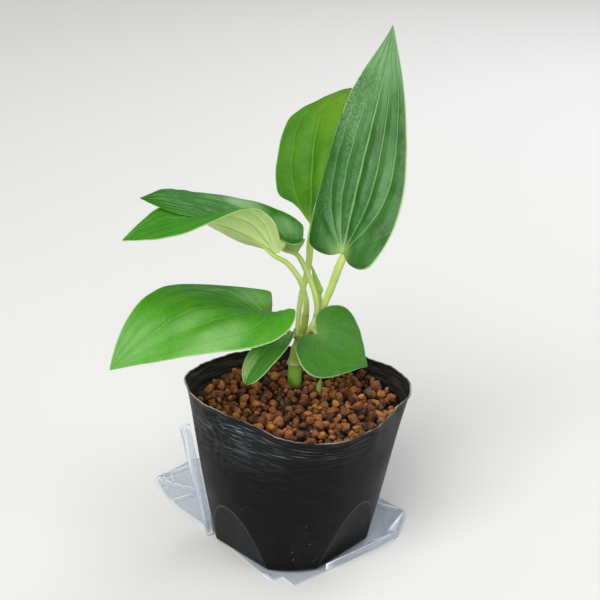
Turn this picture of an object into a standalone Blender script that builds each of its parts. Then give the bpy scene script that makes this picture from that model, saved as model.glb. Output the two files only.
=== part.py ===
"""A young Chinese lizard's tail in a soft black nursery pot, standing on its folded-down clear bag.

Sizes are in millimetres and are turned to metres when a mesh is made. The origin is on the surface
that the pot stands on, under the middle of the pot's foot, with +Z up and the front at -Y.
"""

import math

import bmesh
import bpy
import numpy as np

MM = 0.001
GAP = 0.3

BAG_FILM = 0.4
POT_FOOT = BAG_FILM + GAP
POT_HEIGHT = 64.5
POT_WALL = 0.7
FOOT_RADIUS = 31.9
RIM_MIDDLE = (2.4, 0.0)
# The soft rim's radius every 30 degrees, from +X towards +Y: three blunt corners and a pressed-in front left.
RIM_RADII = (45.5, 45.5, 43.5, 43.5, 44.5, 47.0, 43.5, 39.0, 38.0, 42.0, 44.5, 41.5)
RIM_LIFT = 2.0
RIM_LIFT_AT = 225
RIM_BEAD = 0.5
FACET_DIRECTIONS = (-43, -137, 43, 137)
FACET_HALF_WIDTH = 29
FACET_HEIGHT = 30
# Rings of points on the wall that the pot and its filling share, so that they stay apart everywhere.
WALL_RINGS = (49.5, 40.0, 30.5, 21.0, 11.5, 2.2)
DRAIN_HOLES = 5
DRAIN_RADIUS = 3.2
DRAIN_RING = 15

SOIL_TOP = 59.5
SOIL_LUMP = 1.1
SOIL_CLEARANCE = 1.3
POCKET_WIDENING = 0.6

BLADE_THICKNESS = 0.5
STALK_SIDES = 1

# The blade laid flat, as shares of its length and half width: from the notch round an ear to the tip.
BLADE_OUTLINE = (
    (0.0, 0.0), (-0.05, 0.10), (-0.13, 0.30), (-0.14, 0.55), (-0.06, 0.82), (0.11, 1.0),
    (0.30, 0.97), (0.50, 0.76), (0.70, 0.46), (0.87, 0.18), (1.0, 0.0),
)

# Each leaf has the place where its blade meets the stalk, its length, the half widths, how far the ears
# reach back and how full the sides are (left, right), and angles in degrees at four even places along
# the midrib: the heading round Z, the climb, the roll, and how far each half folds up. A curl is the
# further bend of a half in degrees for each 10 mm outwards, at the base and at the tip.
LEAVES = {
    "tall_leaf": {
        "base": (21.0, 22.0, 116.5), "length": 93.0, "half_widths": (18.7, 21.4),
        "ears": (0.2, 0.3), "fullness": (0.4, 0.1),
        "heading": (45, 38, 39, 80), "climb": (74, 74, 72, 56), "roll": (-8, -24, -12, -28),
        "fold_left": (9, -7, -7, 9), "fold_right": (23, -1, 4, 12),
        "curl_left": (-10, -12.5), "curl_right": (-6, -6.7),
        "stalk": ((12.8, 25.0, 90.3), (14.3, 24.6, 94.2), (17.0, 23.6, 102.0), (19.4, 22.5, 110.1)),
        "stalk_radii": (1.35, 1.7),
    },
    "back_leaf": {
        "base": (8.2, 48.7, 118.9), "length": 69.4, "half_widths": (16.9, 16.6),
        "ears": (0.8, 0.8), "fullness": (-0.1, 1.0),
        "heading": (59, 119.5, 68.5, 26.5), "climb": (74, 81, 30, 10.5), "roll": (52, -5, -20, -8),
        "fold_left": (-6.5, 14, 15, 7.5), "fold_right": (9, 12, 8, 5),
        "curl_left": (-5, -3), "curl_right": (-4, -5),
        "stalk": ((2.4, 29.0, 74.5), (2.8, 31.5, 79.3), (3.5, 35.2, 85.8), (4.6, 39.2, 91.4),
                  (6.1, 42.5, 96.3), (7.7, 45.4, 103.5), (8.2, 47.0, 111.2)),
        "stalk_radii": (0.95, 1.5),
    },
    "upper_left_leaf": {
        "base": (3.0, 28.0, 114.5), "length": 76.1, "half_widths": (22.3, 22.1),
        "ears": (0.1, 0.1), "fullness": (-0.9, 0.4),
        "heading": (177.5, 199.5, 236.5, 205.5), "climb": (13.5, 62, 5.5, 23), "roll": (0, 4, -1, 72.5),
        "fold_left": (63, 23, 34, -50.5), "fold_right": (17.5, 49, -25, -1.5),
        "curl_left": (-26.6, -3.1), "curl_right": (-1.0, -14.3),
        "stalk": ((10.6, 22.2, 89.8), (10.8, 22.2, 92.4), (10.3, 22.8, 96.1), (9.3, 24.0, 100.2),
                  (6.8, 26.2, 106.3)),
        "stalk_radii": (1.15, 1.3),
    },
    "twisted_leaf": {
        "base": (-5.8, 10.0, 120.8), "length": 67.5, "half_widths": (24.1, 17.9),
        "ears": (0.2, -0.2), "fullness": (0.9, 0.0),
        "heading": (156.5, 196.5, 244.5, 183), "climb": (32.5, 33, 7.5, -29), "roll": (-56.5, -46.5, 6, 34),
        "fold_left": (13.5, 37, -4, 39), "fold_right": (33.5, -15, 39, 28),
        "curl_left": (-22.7, -1.0), "curl_right": (-1.0, -3.8),
        "stalk": ((6.1, 22.8, 89.6), (6.3, 20.0, 93.4), (6.0, 16.5, 98.8), (3.7, 12.0, 108.8),
                  (-1.2, 10.3, 116.6)),
        "stalk_radii": (1.35, 1.1),
    },
    "broad_leaf": {
        "base": (-9.0, 15.0, 89.6), "length": 82.0, "half_widths": (31.2, 18.3),
        "ears": (0.0, 0.1), "fullness": (0.2, 0.7),
        "heading": (192, 251, 221, 202.5), "climb": (25.5, 49, -40.5, -34), "roll": (-10, 8.5, 14, 46),
        "fold_left": (44, -9, 7, -2), "fold_right": (45, -5, 14, 14),
        "curl_left": (-14.3, -7.7), "curl_right": (-6.4, -7.2),
        "stalk": ((1.2, 22.6, 79.7), (-1.0, 20.8, 82.2), (-4.5, 18.0, 85.5)),
        "stalk_radii": (1.1, 1.1),
    },
    "heart_leaf": {
        "base": (11.0, 12.0, 85.2), "length": 24.0, "half_widths": (18.5, 19.5),
        "ears": (1.4, 1.4), "fullness": (0.1, 0.2),
        "heading": (-22, -19, -15, -12), "climb": (-24, -26, -30, -37), "roll": (-17, -14, -29, -21),
        "fold_left": (17, 4, 8, 8), "fold_right": (10, -1, -2, 0),
        "curl_left": (-6, -8), "curl_right": (-9, -9),
        "stalk": ((7.6, 21.6, 80.0), (8.0, 19.0, 83.0), (9.2, 15.5, 85.3)),
        "stalk_radii": (1.0, 0.9),
    },
    "small_leaf": {
        "base": (0.5, 11.0, 85.5), "length": 29.1, "half_widths": (11.0, 6.1),
        "ears": (0.2, 0.2), "fullness": (1.0, 1.0),
        "heading": (202.5, 225.5, 223.5, 225), "climb": (-13.5, -11, -42, -64.5),
        "roll": (-28.5, 5.5, -4, 15),
        "fold_left": (16, 5, 23.5, 16), "fold_right": (6, 7, 22.5, 21.5),
        "curl_left": (-7.4, -5.8), "curl_right": (-6.4, -5.3),
        "stalk": ((3.0, 21.6, 76.2), (2.2, 18.0, 80.3), (1.3, 14.5, 83.2)),
        "stalk_radii": (0.8, 0.7),
    },
}

# The main stem leans right from its swollen foot, and its side shoot carries the upper leaves.
STEM_ROUTE = (
    (1.5, 25.0, 50.5, 3.0), (1.5, 25.0, 59.0, 3.0), (1.5, 25.0, 65.0, 2.8), (1.5, 25.0, 66.5, 3.2),
    (1.7, 25.0, 68.0, 2.7), (2.7, 25.0, 73.0, 2.5), (4.4, 25.0, 79.0, 1.9), (5.5, 24.8, 83.0, 1.5),
    (6.0, 24.2, 88.5, 1.6),
)
SHOOT_ROUTE = (
    (4.0, 25.0, 75.5, 1.4), (7.4, 25.0, 78.5, 1.6), (9.3, 25.0, 82.0, 1.9), (11.0, 25.0, 86.0, 2.3),
    (11.6, 25.0, 88.2, 2.5),
)
ROLLED_LEAF_ROUTE = (
    (12.2, 28.6, 88.9, 1.0), (12.6, 29.0, 92.5, 1.1), (12.7, 29.4, 96.5, 1.4), (11.8, 29.4, 100.0, 1.1),
    (10.6, 29.0, 104.0, 0.8), (9.9, 28.6, 108.0, 0.4),
)
SPROUT_ROUTE = ((11.5, 12.7, 56.5, 1.0), (11.5, 12.5, 61.0, 1.2), (11.8, 12.0, 63.0, 0.9), (12.2, 11.5, 65.0, 0.4))

# The bag lies flat under the pot. Its outline goes round from the far left corner, by the front.
BAG_OUTLINE = (
    (-61.0, 42.0), (-55.0, 28.0), (-51.5, 22.0), (-32.5, -1.5), (-27.0, -10.5), (-10.5, -34.5),
    (-7.5, -37.5), (-3.5, -35.0), (1.0, -41.0), (13.0, -31.5), (42.0, -9.0), (45.5, -2.0),
    (49.0, 10.0), (48.5, 14.5), (38.5, 27.0), (12.0, 52.0), (-28.0, 64.0), (-45.5, 60.5),
)
# A fold of the bag stands against the pot's left side: place at its foot and at its top, front to back.
FLAP_FOOT = ((-32.6, -3.0), (-35.2, -3.4), (-36.6, 5.0))
FLAP_TOP = ((-39.6, -4.0), (-43.2, -3.6), (-43.6, 6.0))
FLAP_HEIGHT = 50.5
# The bag's front right edge is turned up in a low fold.
TURNED_EDGE = ((13.6, -30.4), (41.2, -8.6), (44.6, -1.9), (48.0, 10.0))
TURNED_HEIGHT = 4.0

COLLECTION = "potted_chinese_lizards_tail"


def clear_scene():
    for thing in list(bpy.data.objects):
        bpy.data.objects.remove(thing)


def make_collection(name):
    collection = bpy.data.collections.new(name)
    bpy.context.scene.collection.children.link(collection)
    return collection


def make_material(name, colour, roughness, alpha=1.0, transmission=0.0):
    material = bpy.data.materials.new(name)
    material.use_nodes = True
    shader = material.node_tree.nodes["Principled BSDF"]
    shader.inputs["Base Color"].default_value = (*colour, 1.0)
    shader.inputs["Roughness"].default_value = roughness
    shader.inputs["Alpha"].default_value = alpha
    shader.inputs["Transmission Weight"].default_value = transmission
    return material


def add_object(name, mesh, collection, material):
    thing = bpy.data.objects.new(name, mesh)
    mesh.materials.clear()
    mesh.materials.append(material)
    collection.objects.link(thing)
    return thing


def hide(thing):
    thing.hide_render = True
    thing.display_type = "WIRE"
    return thing


def join(thing, other, operation="UNION"):
    """Joins or cuts a hidden shape, with a Boolean on the first object."""
    boolean = thing.modifiers.new(other.name, "BOOLEAN")
    boolean.operation = operation
    boolean.solver = "EXACT"
    boolean.object = other


def thicken(thing, thickness, offset):
    solidify = thing.modifiers.new("thickness", "SOLIDIFY")
    solidify.thickness = thickness * MM
    solidify.offset = offset
    return solidify


def mesh_points(mesh):
    points = np.empty(len(mesh.vertices) * 3, np.float32)
    mesh.vertices.foreach_get("co", points)
    return points.reshape(-1, 3).astype(float) / MM


def move_points(mesh, points):
    mesh.vertices.foreach_set("co", (points * MM).astype(np.float32).ravel())
    mesh.update()


def smooth_path(points, count):
    """Points spread evenly by number on a Catmull-Rom curve through the given ones."""
    points = np.asarray(points, float)
    last = len(points) - 1
    padded = np.vstack([2 * points[0] - points[1], points, 2 * points[-1] - points[-2]])
    place = np.linspace(0, last, count)
    start = np.minimum(place.astype(int), last - 1)
    share = (place - start)[:, None]
    a, b, c, d = (padded[start + step] for step in range(4))
    return 0.5 * (
        2 * b + (c - a) * share + (2 * a - 5 * b + 4 * c - d) * share**2 + (3 * b - 3 * c + d - a) * share**3
    )


def blend(values, share):
    """The Bezier blend of a few values, at shares from 0 to 1 of the way."""
    degree = len(values) - 1
    terms = [
        math.comb(degree, k) * share**k * (1 - share) ** (degree - k) * value
        for k, value in enumerate(values)
    ]
    return sum(terms)


def heading_of(leaf, share):
    """Unit vectors along the midrib, to its right and out of its upper side, at a share of its length."""
    turn = np.radians(blend(leaf["heading"], share))
    climb = np.radians(blend(leaf["climb"], share))
    roll = np.radians(blend(leaf["roll"], share))[..., None]
    along = np.stack([np.cos(climb) * np.cos(turn), np.cos(climb) * np.sin(turn), np.sin(climb)], -1)
    level = np.stack([np.sin(turn), -np.cos(turn), 0 * turn], -1)
    upright = np.cross(level, along)
    right = np.cos(roll) * level + np.sin(roll) * upright
    return along, right, np.cos(roll) * upright - np.sin(roll) * level


def midrib(leaf, share, steps=80):
    """The midrib's points: the leaf's headings added up from the base, each a short step of its length."""
    middles = (np.arange(steps) + 0.5) / steps
    along, _, _ = heading_of(leaf, middles)
    joints = np.vstack([np.zeros(3), np.cumsum(along * leaf["length"] / steps, axis=0)])
    joints += leaf["base"]
    places = np.linspace(0, 1, steps + 1)
    return np.stack([np.interp(share, places, joints[:, axis]) for axis in range(3)], -1)


def blade_points(leaf, across, along):
    """The blade's surface. A flat point lies a share across (-1 left margin, 1 right) on the line that
    runs from the midrib to the margin at a share along the outline. Each half is then bent: its slope
    out of the midrib starts at the fold angle and changes evenly outwards by the curl."""
    left = across < 0
    length = leaf["length"]
    outline = smooth_path(BLADE_OUTLINE, 201)
    rim = np.stack([np.interp(along, np.linspace(0, 1, 201), outline[:, axis]) for axis in range(2)], -1)
    ear = np.where(left, *leaf["ears"])
    fullness = np.where(left, *leaf["fullness"])
    forward = rim[..., 0] + fullness * rim[..., 0] * (1 - rim[..., 0])
    rim_forward = length * np.where(rim[..., 0] < 0, rim[..., 0] * ear, forward)
    rim_out = rim[..., 1] * np.where(left, *leaf["half_widths"])
    reach = np.abs(across)
    forward = (1 - reach) * length * along**2.2 + reach * rim_forward
    out = reach * rim_out
    share = np.clip(forward / length, 0, 1)
    heading, right, up = heading_of(leaf, share)
    spine = midrib(leaf, share) + np.minimum(forward, 0)[..., None] * heading
    fold = np.radians(np.where(left, blend(leaf["fold_left"], share), blend(leaf["fold_right"], share)))
    curl = np.radians(np.where(left, blend(leaf["curl_left"], share), blend(leaf["curl_right"], share))) / 10
    sideways = (np.sin(fold + curl * out) - np.sin(fold)) / curl
    lift = (np.cos(fold) - np.cos(fold + curl * out)) / curl
    side = np.where(left, -1.0, 1.0)
    return spine + (side * sideways)[..., None] * right + lift[..., None] * up


def tube(name, route, collection, material, count, sides=STALK_SIDES):
    """A round stem along a route of (x, y, z, radius), as a closed mesh with its caps welded."""
    points = smooth_path(route, count)
    curve = bpy.data.curves.new(name, "CURVE")
    curve.dimensions = "3D"
    curve.bevel_depth = MM
    curve.bevel_resolution = sides
    curve.use_fill_caps = True
    spline = curve.splines.new("POLY")
    spline.points.add(len(points) - 1)
    for target, (x, y, z, radius) in zip(spline.points, points):
        target.co = (x * MM, y * MM, z * MM, 1.0)
        target.radius = radius
    guide = bpy.data.objects.new(name + "_route", curve)
    collection.objects.link(guide)
    bpy.context.view_layer.update()
    mesh = bpy.data.meshes.new_from_object(guide.evaluated_get(bpy.context.evaluated_depsgraph_get()))
    bpy.data.objects.remove(guide)
    mesh.name = name
    shape = bmesh.new()
    shape.from_mesh(mesh)
    bmesh.ops.remove_doubles(shape, verts=shape.verts, dist=0.01 * MM)
    shape.to_mesh(mesh)
    shape.free()
    return add_object(name, mesh, collection, material)


def leaf_stalk_route(leaf):
    """The stalk's own route, then under the blade along its midrib, where it thins to the rib."""
    foot_radius, top_radius = leaf["stalk_radii"]
    own = np.asarray(leaf["stalk"], float)
    radii = np.linspace(foot_radius, top_radius, len(own))
    share = np.array([0.0, 0.08, 0.16, 0.26])
    rib_radii = np.array([0.8, 0.6, 0.5, 0.4]) * top_radius
    _, _, up = heading_of(leaf, share)
    under = midrib(leaf, share) - up * (0.8 * rib_radii)[:, None]
    return np.vstack([np.column_stack([own, radii]), np.column_stack([under, rib_radii])])


def add_leaf(name, leaf, nodes, hidden, material):
    """A blade from a grid bent to the leaf's form and thickened, joined to its stalk."""
    columns = 8
    rows = 12
    shape = bmesh.new()
    bmesh.ops.create_grid(shape, x_segments=columns, y_segments=rows, size=1.0)
    flat = np.array([vertex.co[:2] for vertex in shape.verts])
    bent = blade_points(leaf, flat[:, 0], (flat[:, 1] + 1) / 2)
    for vertex, point in zip(shape.verts, bent):
        vertex.co = point * MM
    bmesh.ops.remove_doubles(shape, verts=shape.verts, dist=0.05 * MM)
    mesh = bpy.data.meshes.new(name)
    shape.to_mesh(mesh)
    shape.free()
    blade = add_object(name, mesh, nodes, material)
    mesh.shade_smooth()
    thicken(blade, BLADE_THICKNESS, 0)
    route = leaf_stalk_route(leaf)
    stalk = hide(tube(name + "_stalk", route, hidden, material, count=len(route) + 5))
    join(blade, stalk)


def wave(values, degrees):
    """A smooth closed curve through values spread evenly round a circle, read at any angle."""
    values = np.asarray(values, float)
    place = np.asarray(degrees, float) / 360 * len(values)
    start = np.floor(place).astype(int)
    share = place - start
    a, b, c, d = (values[(start + step) % len(values)] for step in (-1, 0, 1, 2))
    return 0.5 * (
        2 * b + (c - a) * share + (2 * a - 5 * b + 4 * c - d) * share**2 + (3 * b - 3 * c + d - a) * share**3
    )


def pot_wall(degrees, height):
    """The pot's outer radius at an angle and a height over its foot: straight from the round foot to the
    soft rim, cut back by four flats that lean out from the foot."""
    rise = height / POT_HEIGHT
    round_radius = FOOT_RADIUS + (wave(RIM_RADII, degrees) - FOOT_RADIUS) * rise
    flat_foot = FOOT_RADIUS * math.cos(math.radians(FACET_HALF_WIDTH))
    flat_top = FOOT_RADIUS + (np.mean(RIM_RADII) - FOOT_RADIUS) * FACET_HEIGHT / POT_HEIGHT
    flat = flat_foot + (flat_top - flat_foot) * height / FACET_HEIGHT
    radius = round_radius
    for direction in FACET_DIRECTIONS:
        aside = (degrees - direction + 180) % 360 - 180
        facing = np.cos(np.radians(aside))
        cut = np.where(facing > 0.3, flat / np.maximum(facing, 0.3), np.inf)
        radius = np.minimum(radius, cut)
    return radius


def to_pot_shape(points, inset):
    """Turned points taken to the pot's plan: a point's share of the round radius becomes the same share
    of the pot's own radius less an inset."""
    height = points[:, 2] - POT_FOOT
    degrees = np.degrees(np.arctan2(points[:, 1], points[:, 0]))
    share = np.hypot(points[:, 0], points[:, 1]) / FOOT_RADIUS
    radius = share * (pot_wall(degrees, height) - inset)
    rise = height / POT_HEIGHT
    lift = RIM_LIFT * np.exp(-(((degrees - RIM_LIFT_AT + 180) % 360 - 180) / 45) ** 2)
    moved = np.column_stack([
        radius * np.cos(np.radians(degrees)) + RIM_MIDDLE[0] * rise,
        radius * np.sin(np.radians(degrees)) + RIM_MIDDLE[1] * rise,
        points[:, 2] + lift * np.clip(rise, 0, 1) ** 4,
    ])
    return moved


def turned(name, profile, steps, collection, material):
    """A mesh turned from a profile of (share of the radius, height), top to bottom on its outer side."""
    mesh = bpy.data.meshes.new(name)
    corners = [(share * FOOT_RADIUS * MM, 0, height * MM) for share, height in profile]
    mesh.from_pydata(corners, [(k, k + 1) for k in range(len(corners) - 1)], [])
    guide = bpy.data.objects.new(name + "_profile", mesh)
    collection.objects.link(guide)
    screw = guide.modifiers.new("turn", "SCREW")
    screw.steps = steps
    screw.render_steps = steps
    screw.use_merge_vertices = True
    screw.merge_threshold = 0.0001
    bpy.context.view_layer.update()
    whole = bpy.data.meshes.new_from_object(guide.evaluated_get(bpy.context.evaluated_depsgraph_get()))
    bpy.data.objects.remove(guide)
    whole.name = name
    return add_object(name, whole, collection, material)


def add_pot(nodes, hidden, material):
    top = POT_FOOT + POT_HEIGHT
    heights = (top, top - 1.2, top - 2.0, *WALL_RINGS)
    bead = RIM_BEAD / FOOT_RADIUS
    profile = [(1.0 + (bead if k < 2 else 0.0), height) for k, height in enumerate(heights)]
    profile += [(0.965, POT_FOOT), (0.0, POT_FOOT)]
    pot = turned("nursery_pot", profile, 42, nodes, material)
    move_points(pot.data, to_pot_shape(mesh_points(pot.data), 0))
    pot.data.shade_smooth()
    thicken(pot, POT_WALL, -1)
    for k in range(DRAIN_HOLES + 1):
        angle = math.tau * k / DRAIN_HOLES
        ring = DRAIN_RING if k < DRAIN_HOLES else 0
        shape = bmesh.new()
        bmesh.ops.create_cone(
            shape, cap_ends=True, segments=12, radius1=DRAIN_RADIUS * MM, radius2=DRAIN_RADIUS * MM, depth=6 * MM
        )
        mesh = bpy.data.meshes.new(f"drain_cutter_{k}")
        shape.to_mesh(mesh)
        shape.free()
        cutter = hide(add_object(f"drain_cutter_{k}", mesh, hidden, material))
        cutter.location = (ring * math.cos(angle) * MM, ring * math.sin(angle) * MM, POT_FOOT * MM)
        join(pot, cutter, "DIFFERENCE")


def add_soil(nodes, hidden, material):
    """The bed of hard grains: it fills the pot with a small clearance, and its top is lumpy."""
    bottom = POT_FOOT + POT_WALL + 0.5
    rings = 8
    profile = [(share, SOIL_TOP) for share in np.linspace(0, 1, rings + 1)]
    profile += [(1.0, height) for height in WALL_RINGS[:-1]]
    profile += [(0.94, bottom), (0.0, bottom)]
    soil = turned("grain_bed", profile, 42, nodes, material)
    points = mesh_points(soil.data)
    on_top = (points[:, 2] > SOIL_TOP - 0.01) & (np.hypot(points[:, 0], points[:, 1]) < 0.97 * FOOT_RADIUS)
    points = to_pot_shape(points, SOIL_CLEARANCE)
    lumps = np.random.default_rng(11).uniform(-SOIL_LUMP, SOIL_LUMP, len(points))
    points[:, 2] += np.where(on_top, lumps, 0)
    move_points(soil.data, points)
    for name, route in (("stem", STEM_ROUTE), ("sprout", SPROUT_ROUTE)):
        x, y, z, _ = route[0]
        pocket_radius = max(point[3] for point in route[:2]) + POCKET_WIDENING
        top = SOIL_TOP + 5
        low = z - GAP - 0.1
        pocket = ((x, y, low, pocket_radius), (x, y, top, pocket_radius))
        cutter = hide(tube(name + "_pocket", pocket, hidden, material, count=2, sides=3))
        join(soil, cutter, "DIFFERENCE")


def add_stem(nodes, hidden, material):
    stem = tube("main_stem", STEM_ROUTE, nodes, material, count=20, sides=3)
    shoot = hide(tube("side_shoot", SHOOT_ROUTE, hidden, material, count=9, sides=3))
    join(stem, shoot)
    stem.data.shade_smooth()


def grid_object(name, corners_of, columns, rows, collection, material):
    """A grid moved to corners_of(across, up), each from 0 to 1."""
    shape = bmesh.new()
    bmesh.ops.create_grid(shape, x_segments=columns, y_segments=rows, size=1.0)
    for vertex in shape.verts:
        vertex.co = np.asarray(corners_of((vertex.co.x + 1) / 2, (vertex.co.y + 1) / 2)) * MM
    mesh = bpy.data.meshes.new(name)
    shape.to_mesh(mesh)
    shape.free()
    return add_object(name, mesh, collection, material)


def along_corners(corners, share):
    """A point a share of the way along a bent line, by its corners' number."""
    corners = np.asarray(corners, float)
    places = np.linspace(0, 1, len(corners))
    return np.array([np.interp(share, places, corners[:, axis]) for axis in range(corners.shape[1])])


def add_bag(nodes, hidden, material):
    """The flat film under the pot, with one fold standing at the left and a turned-up front edge."""
    outline = bpy.data.curves.new("bag_outline", "CURVE")
    outline.dimensions = "2D"
    outline.fill_mode = "BOTH"
    outline.extrude = BAG_FILM / 2 * MM
    spline = outline.splines.new("POLY")
    spline.points.add(len(BAG_OUTLINE) - 1)
    for point, (x, y) in zip(spline.points, BAG_OUTLINE):
        point.co = (x * MM, y * MM, 0, 1)
    spline.use_cyclic_u = True
    guide = bpy.data.objects.new("bag_outline", outline)
    nodes.objects.link(guide)
    bpy.context.view_layer.update()
    mesh = bpy.data.meshes.new_from_object(guide.evaluated_get(bpy.context.evaluated_depsgraph_get()))
    bpy.data.objects.remove(guide)
    shape = bmesh.new()
    shape.from_mesh(mesh)
    bmesh.ops.remove_doubles(shape, verts=shape.verts, dist=0.01 * MM)
    bmesh.ops.translate(shape, verts=shape.verts, vec=(0, 0, BAG_FILM / 2 * MM))
    shape.to_mesh(mesh)
    shape.free()
    bag = add_object("clear_bag", mesh, nodes, material)

    def flap_point(across, up):
        foot = along_corners(FLAP_FOOT, across)
        top = along_corners(FLAP_TOP, across)
        return (*(foot + (top - foot) * up), BAG_FILM / 2 + (FLAP_HEIGHT - BAG_FILM / 2) * up)

    def edge_point(across, up):
        return (*along_corners(TURNED_EDGE, across), BAG_FILM / 2 + (TURNED_HEIGHT - BAG_FILM / 2) * up)

    flap = hide(grid_object("bag_flap", flap_point, 2, 6, hidden, material))
    thicken(flap, BAG_FILM, 0)
    edge = hide(grid_object("bag_turned_edge", edge_point, 3, 1, hidden, material))
    thicken(edge, BAG_FILM, 0)
    join(bag, flap)
    join(bag, edge)


def main():
    clear_scene()
    nodes = make_collection(COLLECTION)
    hidden = make_collection("cutters_and_joined_shapes")
    film = make_material("clear polyethylene film", (0.78, 0.80, 0.90), 0.15, alpha=0.35)
    pot_plastic = make_material("black polyethylene", (0.008, 0.009, 0.011), 0.42)
    grains = make_material("fired clay grains", (0.30, 0.12, 0.05), 0.9)
    stem_green = make_material("stem", (0.35, 0.45, 0.10), 0.45)
    leaf_green = make_material("leaf", (0.08, 0.28, 0.05), 0.4)
    add_bag(nodes, hidden, film)
    add_pot(nodes, hidden, pot_plastic)
    add_soil(nodes, hidden, grains)
    add_stem(nodes, hidden, stem_green)
    tube("rolled_young_leaf", ROLLED_LEAF_ROUTE, nodes, stem_green, count=12)
    tube("soil_sprout", SPROUT_ROUTE, nodes, stem_green, count=7)
    for name, leaf in LEAVES.items():
        add_leaf(name, leaf, nodes, hidden, leaf_green)


main()
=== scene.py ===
import math
from functools import partial

import bmesh
import bpy
import numpy as np
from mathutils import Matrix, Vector


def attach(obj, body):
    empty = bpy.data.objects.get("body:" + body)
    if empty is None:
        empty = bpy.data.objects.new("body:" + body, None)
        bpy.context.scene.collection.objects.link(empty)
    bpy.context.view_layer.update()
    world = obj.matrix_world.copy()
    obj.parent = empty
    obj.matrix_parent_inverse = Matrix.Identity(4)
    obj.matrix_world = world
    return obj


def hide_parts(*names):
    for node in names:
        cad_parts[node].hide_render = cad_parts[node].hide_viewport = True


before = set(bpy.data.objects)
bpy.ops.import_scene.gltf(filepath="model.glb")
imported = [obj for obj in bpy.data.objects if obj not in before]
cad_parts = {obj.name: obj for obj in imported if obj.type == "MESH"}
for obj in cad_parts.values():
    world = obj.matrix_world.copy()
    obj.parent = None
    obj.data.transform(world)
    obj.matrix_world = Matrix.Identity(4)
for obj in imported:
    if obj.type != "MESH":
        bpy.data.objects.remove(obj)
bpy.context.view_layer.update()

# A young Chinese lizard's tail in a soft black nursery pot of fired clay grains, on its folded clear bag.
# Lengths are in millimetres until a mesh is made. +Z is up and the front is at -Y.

MM = 0.001
MERGE_DISTANCE = 0.000002
FLOOR_SIZE = 60.0
# The camera solved from the photograph, and what the lamps look at. Places are in metres.
LENS_LENGTH = 87.06
SENSOR_WIDTH = 36
CAMERA_PLACE = (0.0, -0.5207, 0.3305)
CAMERA_AIM = (0.0036, 0.0, 0.1054)
LAMP_AIM = (0.0, 0.0, 0.09)
# Each lamp's name, kind, place, strength, size and tint. The sun's size is its width in degrees.
LAMPS = (
    ("soft_sun", "SUN", (-0.45, -0.75, 0.9), 1.7, 45, (1.0, 1.0, 1.0)),
    ("front_left_softbox", "AREA", (-0.85, -0.65, 0.4), 3.0, (0.5, 0.7), (0.92, 0.96, 1.0)),
    ("low_front_softbox", "AREA", (-0.15, -1.6, 0.6), 9.0, (1.3, 0.5), (1.0, 0.99, 0.96)),
    ("overhead_softbox", "AREA", (0.0, -0.15, 1.15), 3.6, (0.7, 0.6), (1.0, 1.0, 1.0)),
    ("side_softbox", "AREA", (0.8, -0.3, 0.5), 1.0, (0.5, 0.8), (0.9, 0.95, 1.0)),
    ("back_softbox", "AREA", (0.5, 0.75, 0.75), 4.0, (0.6, 0.45), (0.9, 0.95, 1.0)),
)
FAR = 1e3

# The pot. Its main form is the solid's, with a thinner wall and finer relief.
POT_FOOT = 0.7
POT_HEIGHT = 64.5
FOOT_RADIUS = 31.9
RIM_RADIUS = 45.0
RIM_SHIFT = 2.4
# The soft rim's radius every 15 degrees, from +X towards +Y: blunt corners, pressed in at the front left.
RIM_RADII = (
    45.2, 46.4, 45.4, 43.8, 43.4, 43.4, 43.4, 43.6, 44.2, 46.2, 47.6, 46.8,
    43.6, 39.6, 36.6, 35.0, 35.4, 38.4, 42.6, 45.0, 44.2, 42.2, 41.2, 42.6,
)
PRESSED_POWER = 3.0
RIM_LIFT = 2.0
RIM_LIFT_AT = 225
FACET_DIRECTIONS = (-43, -137, 43, 137)
FACET_HALF_WIDTH = 29
FACET_HEIGHT = 30
POT_WALL = 0.55
RIB_DEPTHS = (3.6, 5.0, 6.3, 7.6)
RIB_PROUD = 0.2
RIBS_AT = 265
BORDER_ROUNDING = 0.12
CREASE_GAP = 0.16
CRUMPLED_AT = 228
CRUMPLE_DEPTH = 0.6
BEAD_RADIUS = 0.42
POT_COLUMNS = 481
BED_COLUMNS = 97

SOIL_LEVEL = 59.5
LOOSE_DEPTH = 6.5
GRAIN_RADIUS = 1.7
GRAIN_RADIUS_LIMITS = (0.8, 2.8)
GRAIN_SHAPES = 16
# Where the stem and the sprout stand among the grains, and the radius that each needs.
FEET = ((1.5, 25.0, 3.1), (11.5, 12.7, 1.1))
# Grains rest at this share of their two radii from each other, so they sink in a little. The bed is full
# when so many grains have found no place.
GRAIN_TOUCH = 0.88
MISSES_WHEN_FULL = 60
TRIES_FOR_A_GRAIN = 30

# The blade laid flat, as shares of its length and half width: from the notch round an ear to the tip.
BLADE_OUTLINE = (
    (0.0, 0.0), (-0.05, 0.10), (-0.13, 0.30), (-0.14, 0.55), (-0.06, 0.82), (0.11, 1.0),
    (0.30, 0.97), (0.50, 0.76), (0.70, 0.46), (0.87, 0.18), (1.0, 0.0),
)

# The back leaf's own outline, a wedge at its base.
WEDGE_OUTLINE = (
    (0.0, 0.0), (0.08, 0.12), (0.18, 0.30), (0.25, 0.55), (0.28, 0.85), (0.35, 1.0),
    (0.46, 1.0), (0.62, 0.88), (0.77, 0.60), (0.90, 0.26), (1.0, 0.0),
)

# The same leaf's left side, with a shoulder towards its tip.
SHOULDERED_OUTLINE = (
    (0.0, 0.0), (0.08, 0.12), (0.18, 0.30), (0.25, 0.55), (0.28, 0.85), (0.35, 1.0),
    (0.50, 1.0), (0.62, 0.93), (0.74, 0.84), (0.79, 0.67), (0.87, 0.28), (1.0, 0.0),
)

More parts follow.
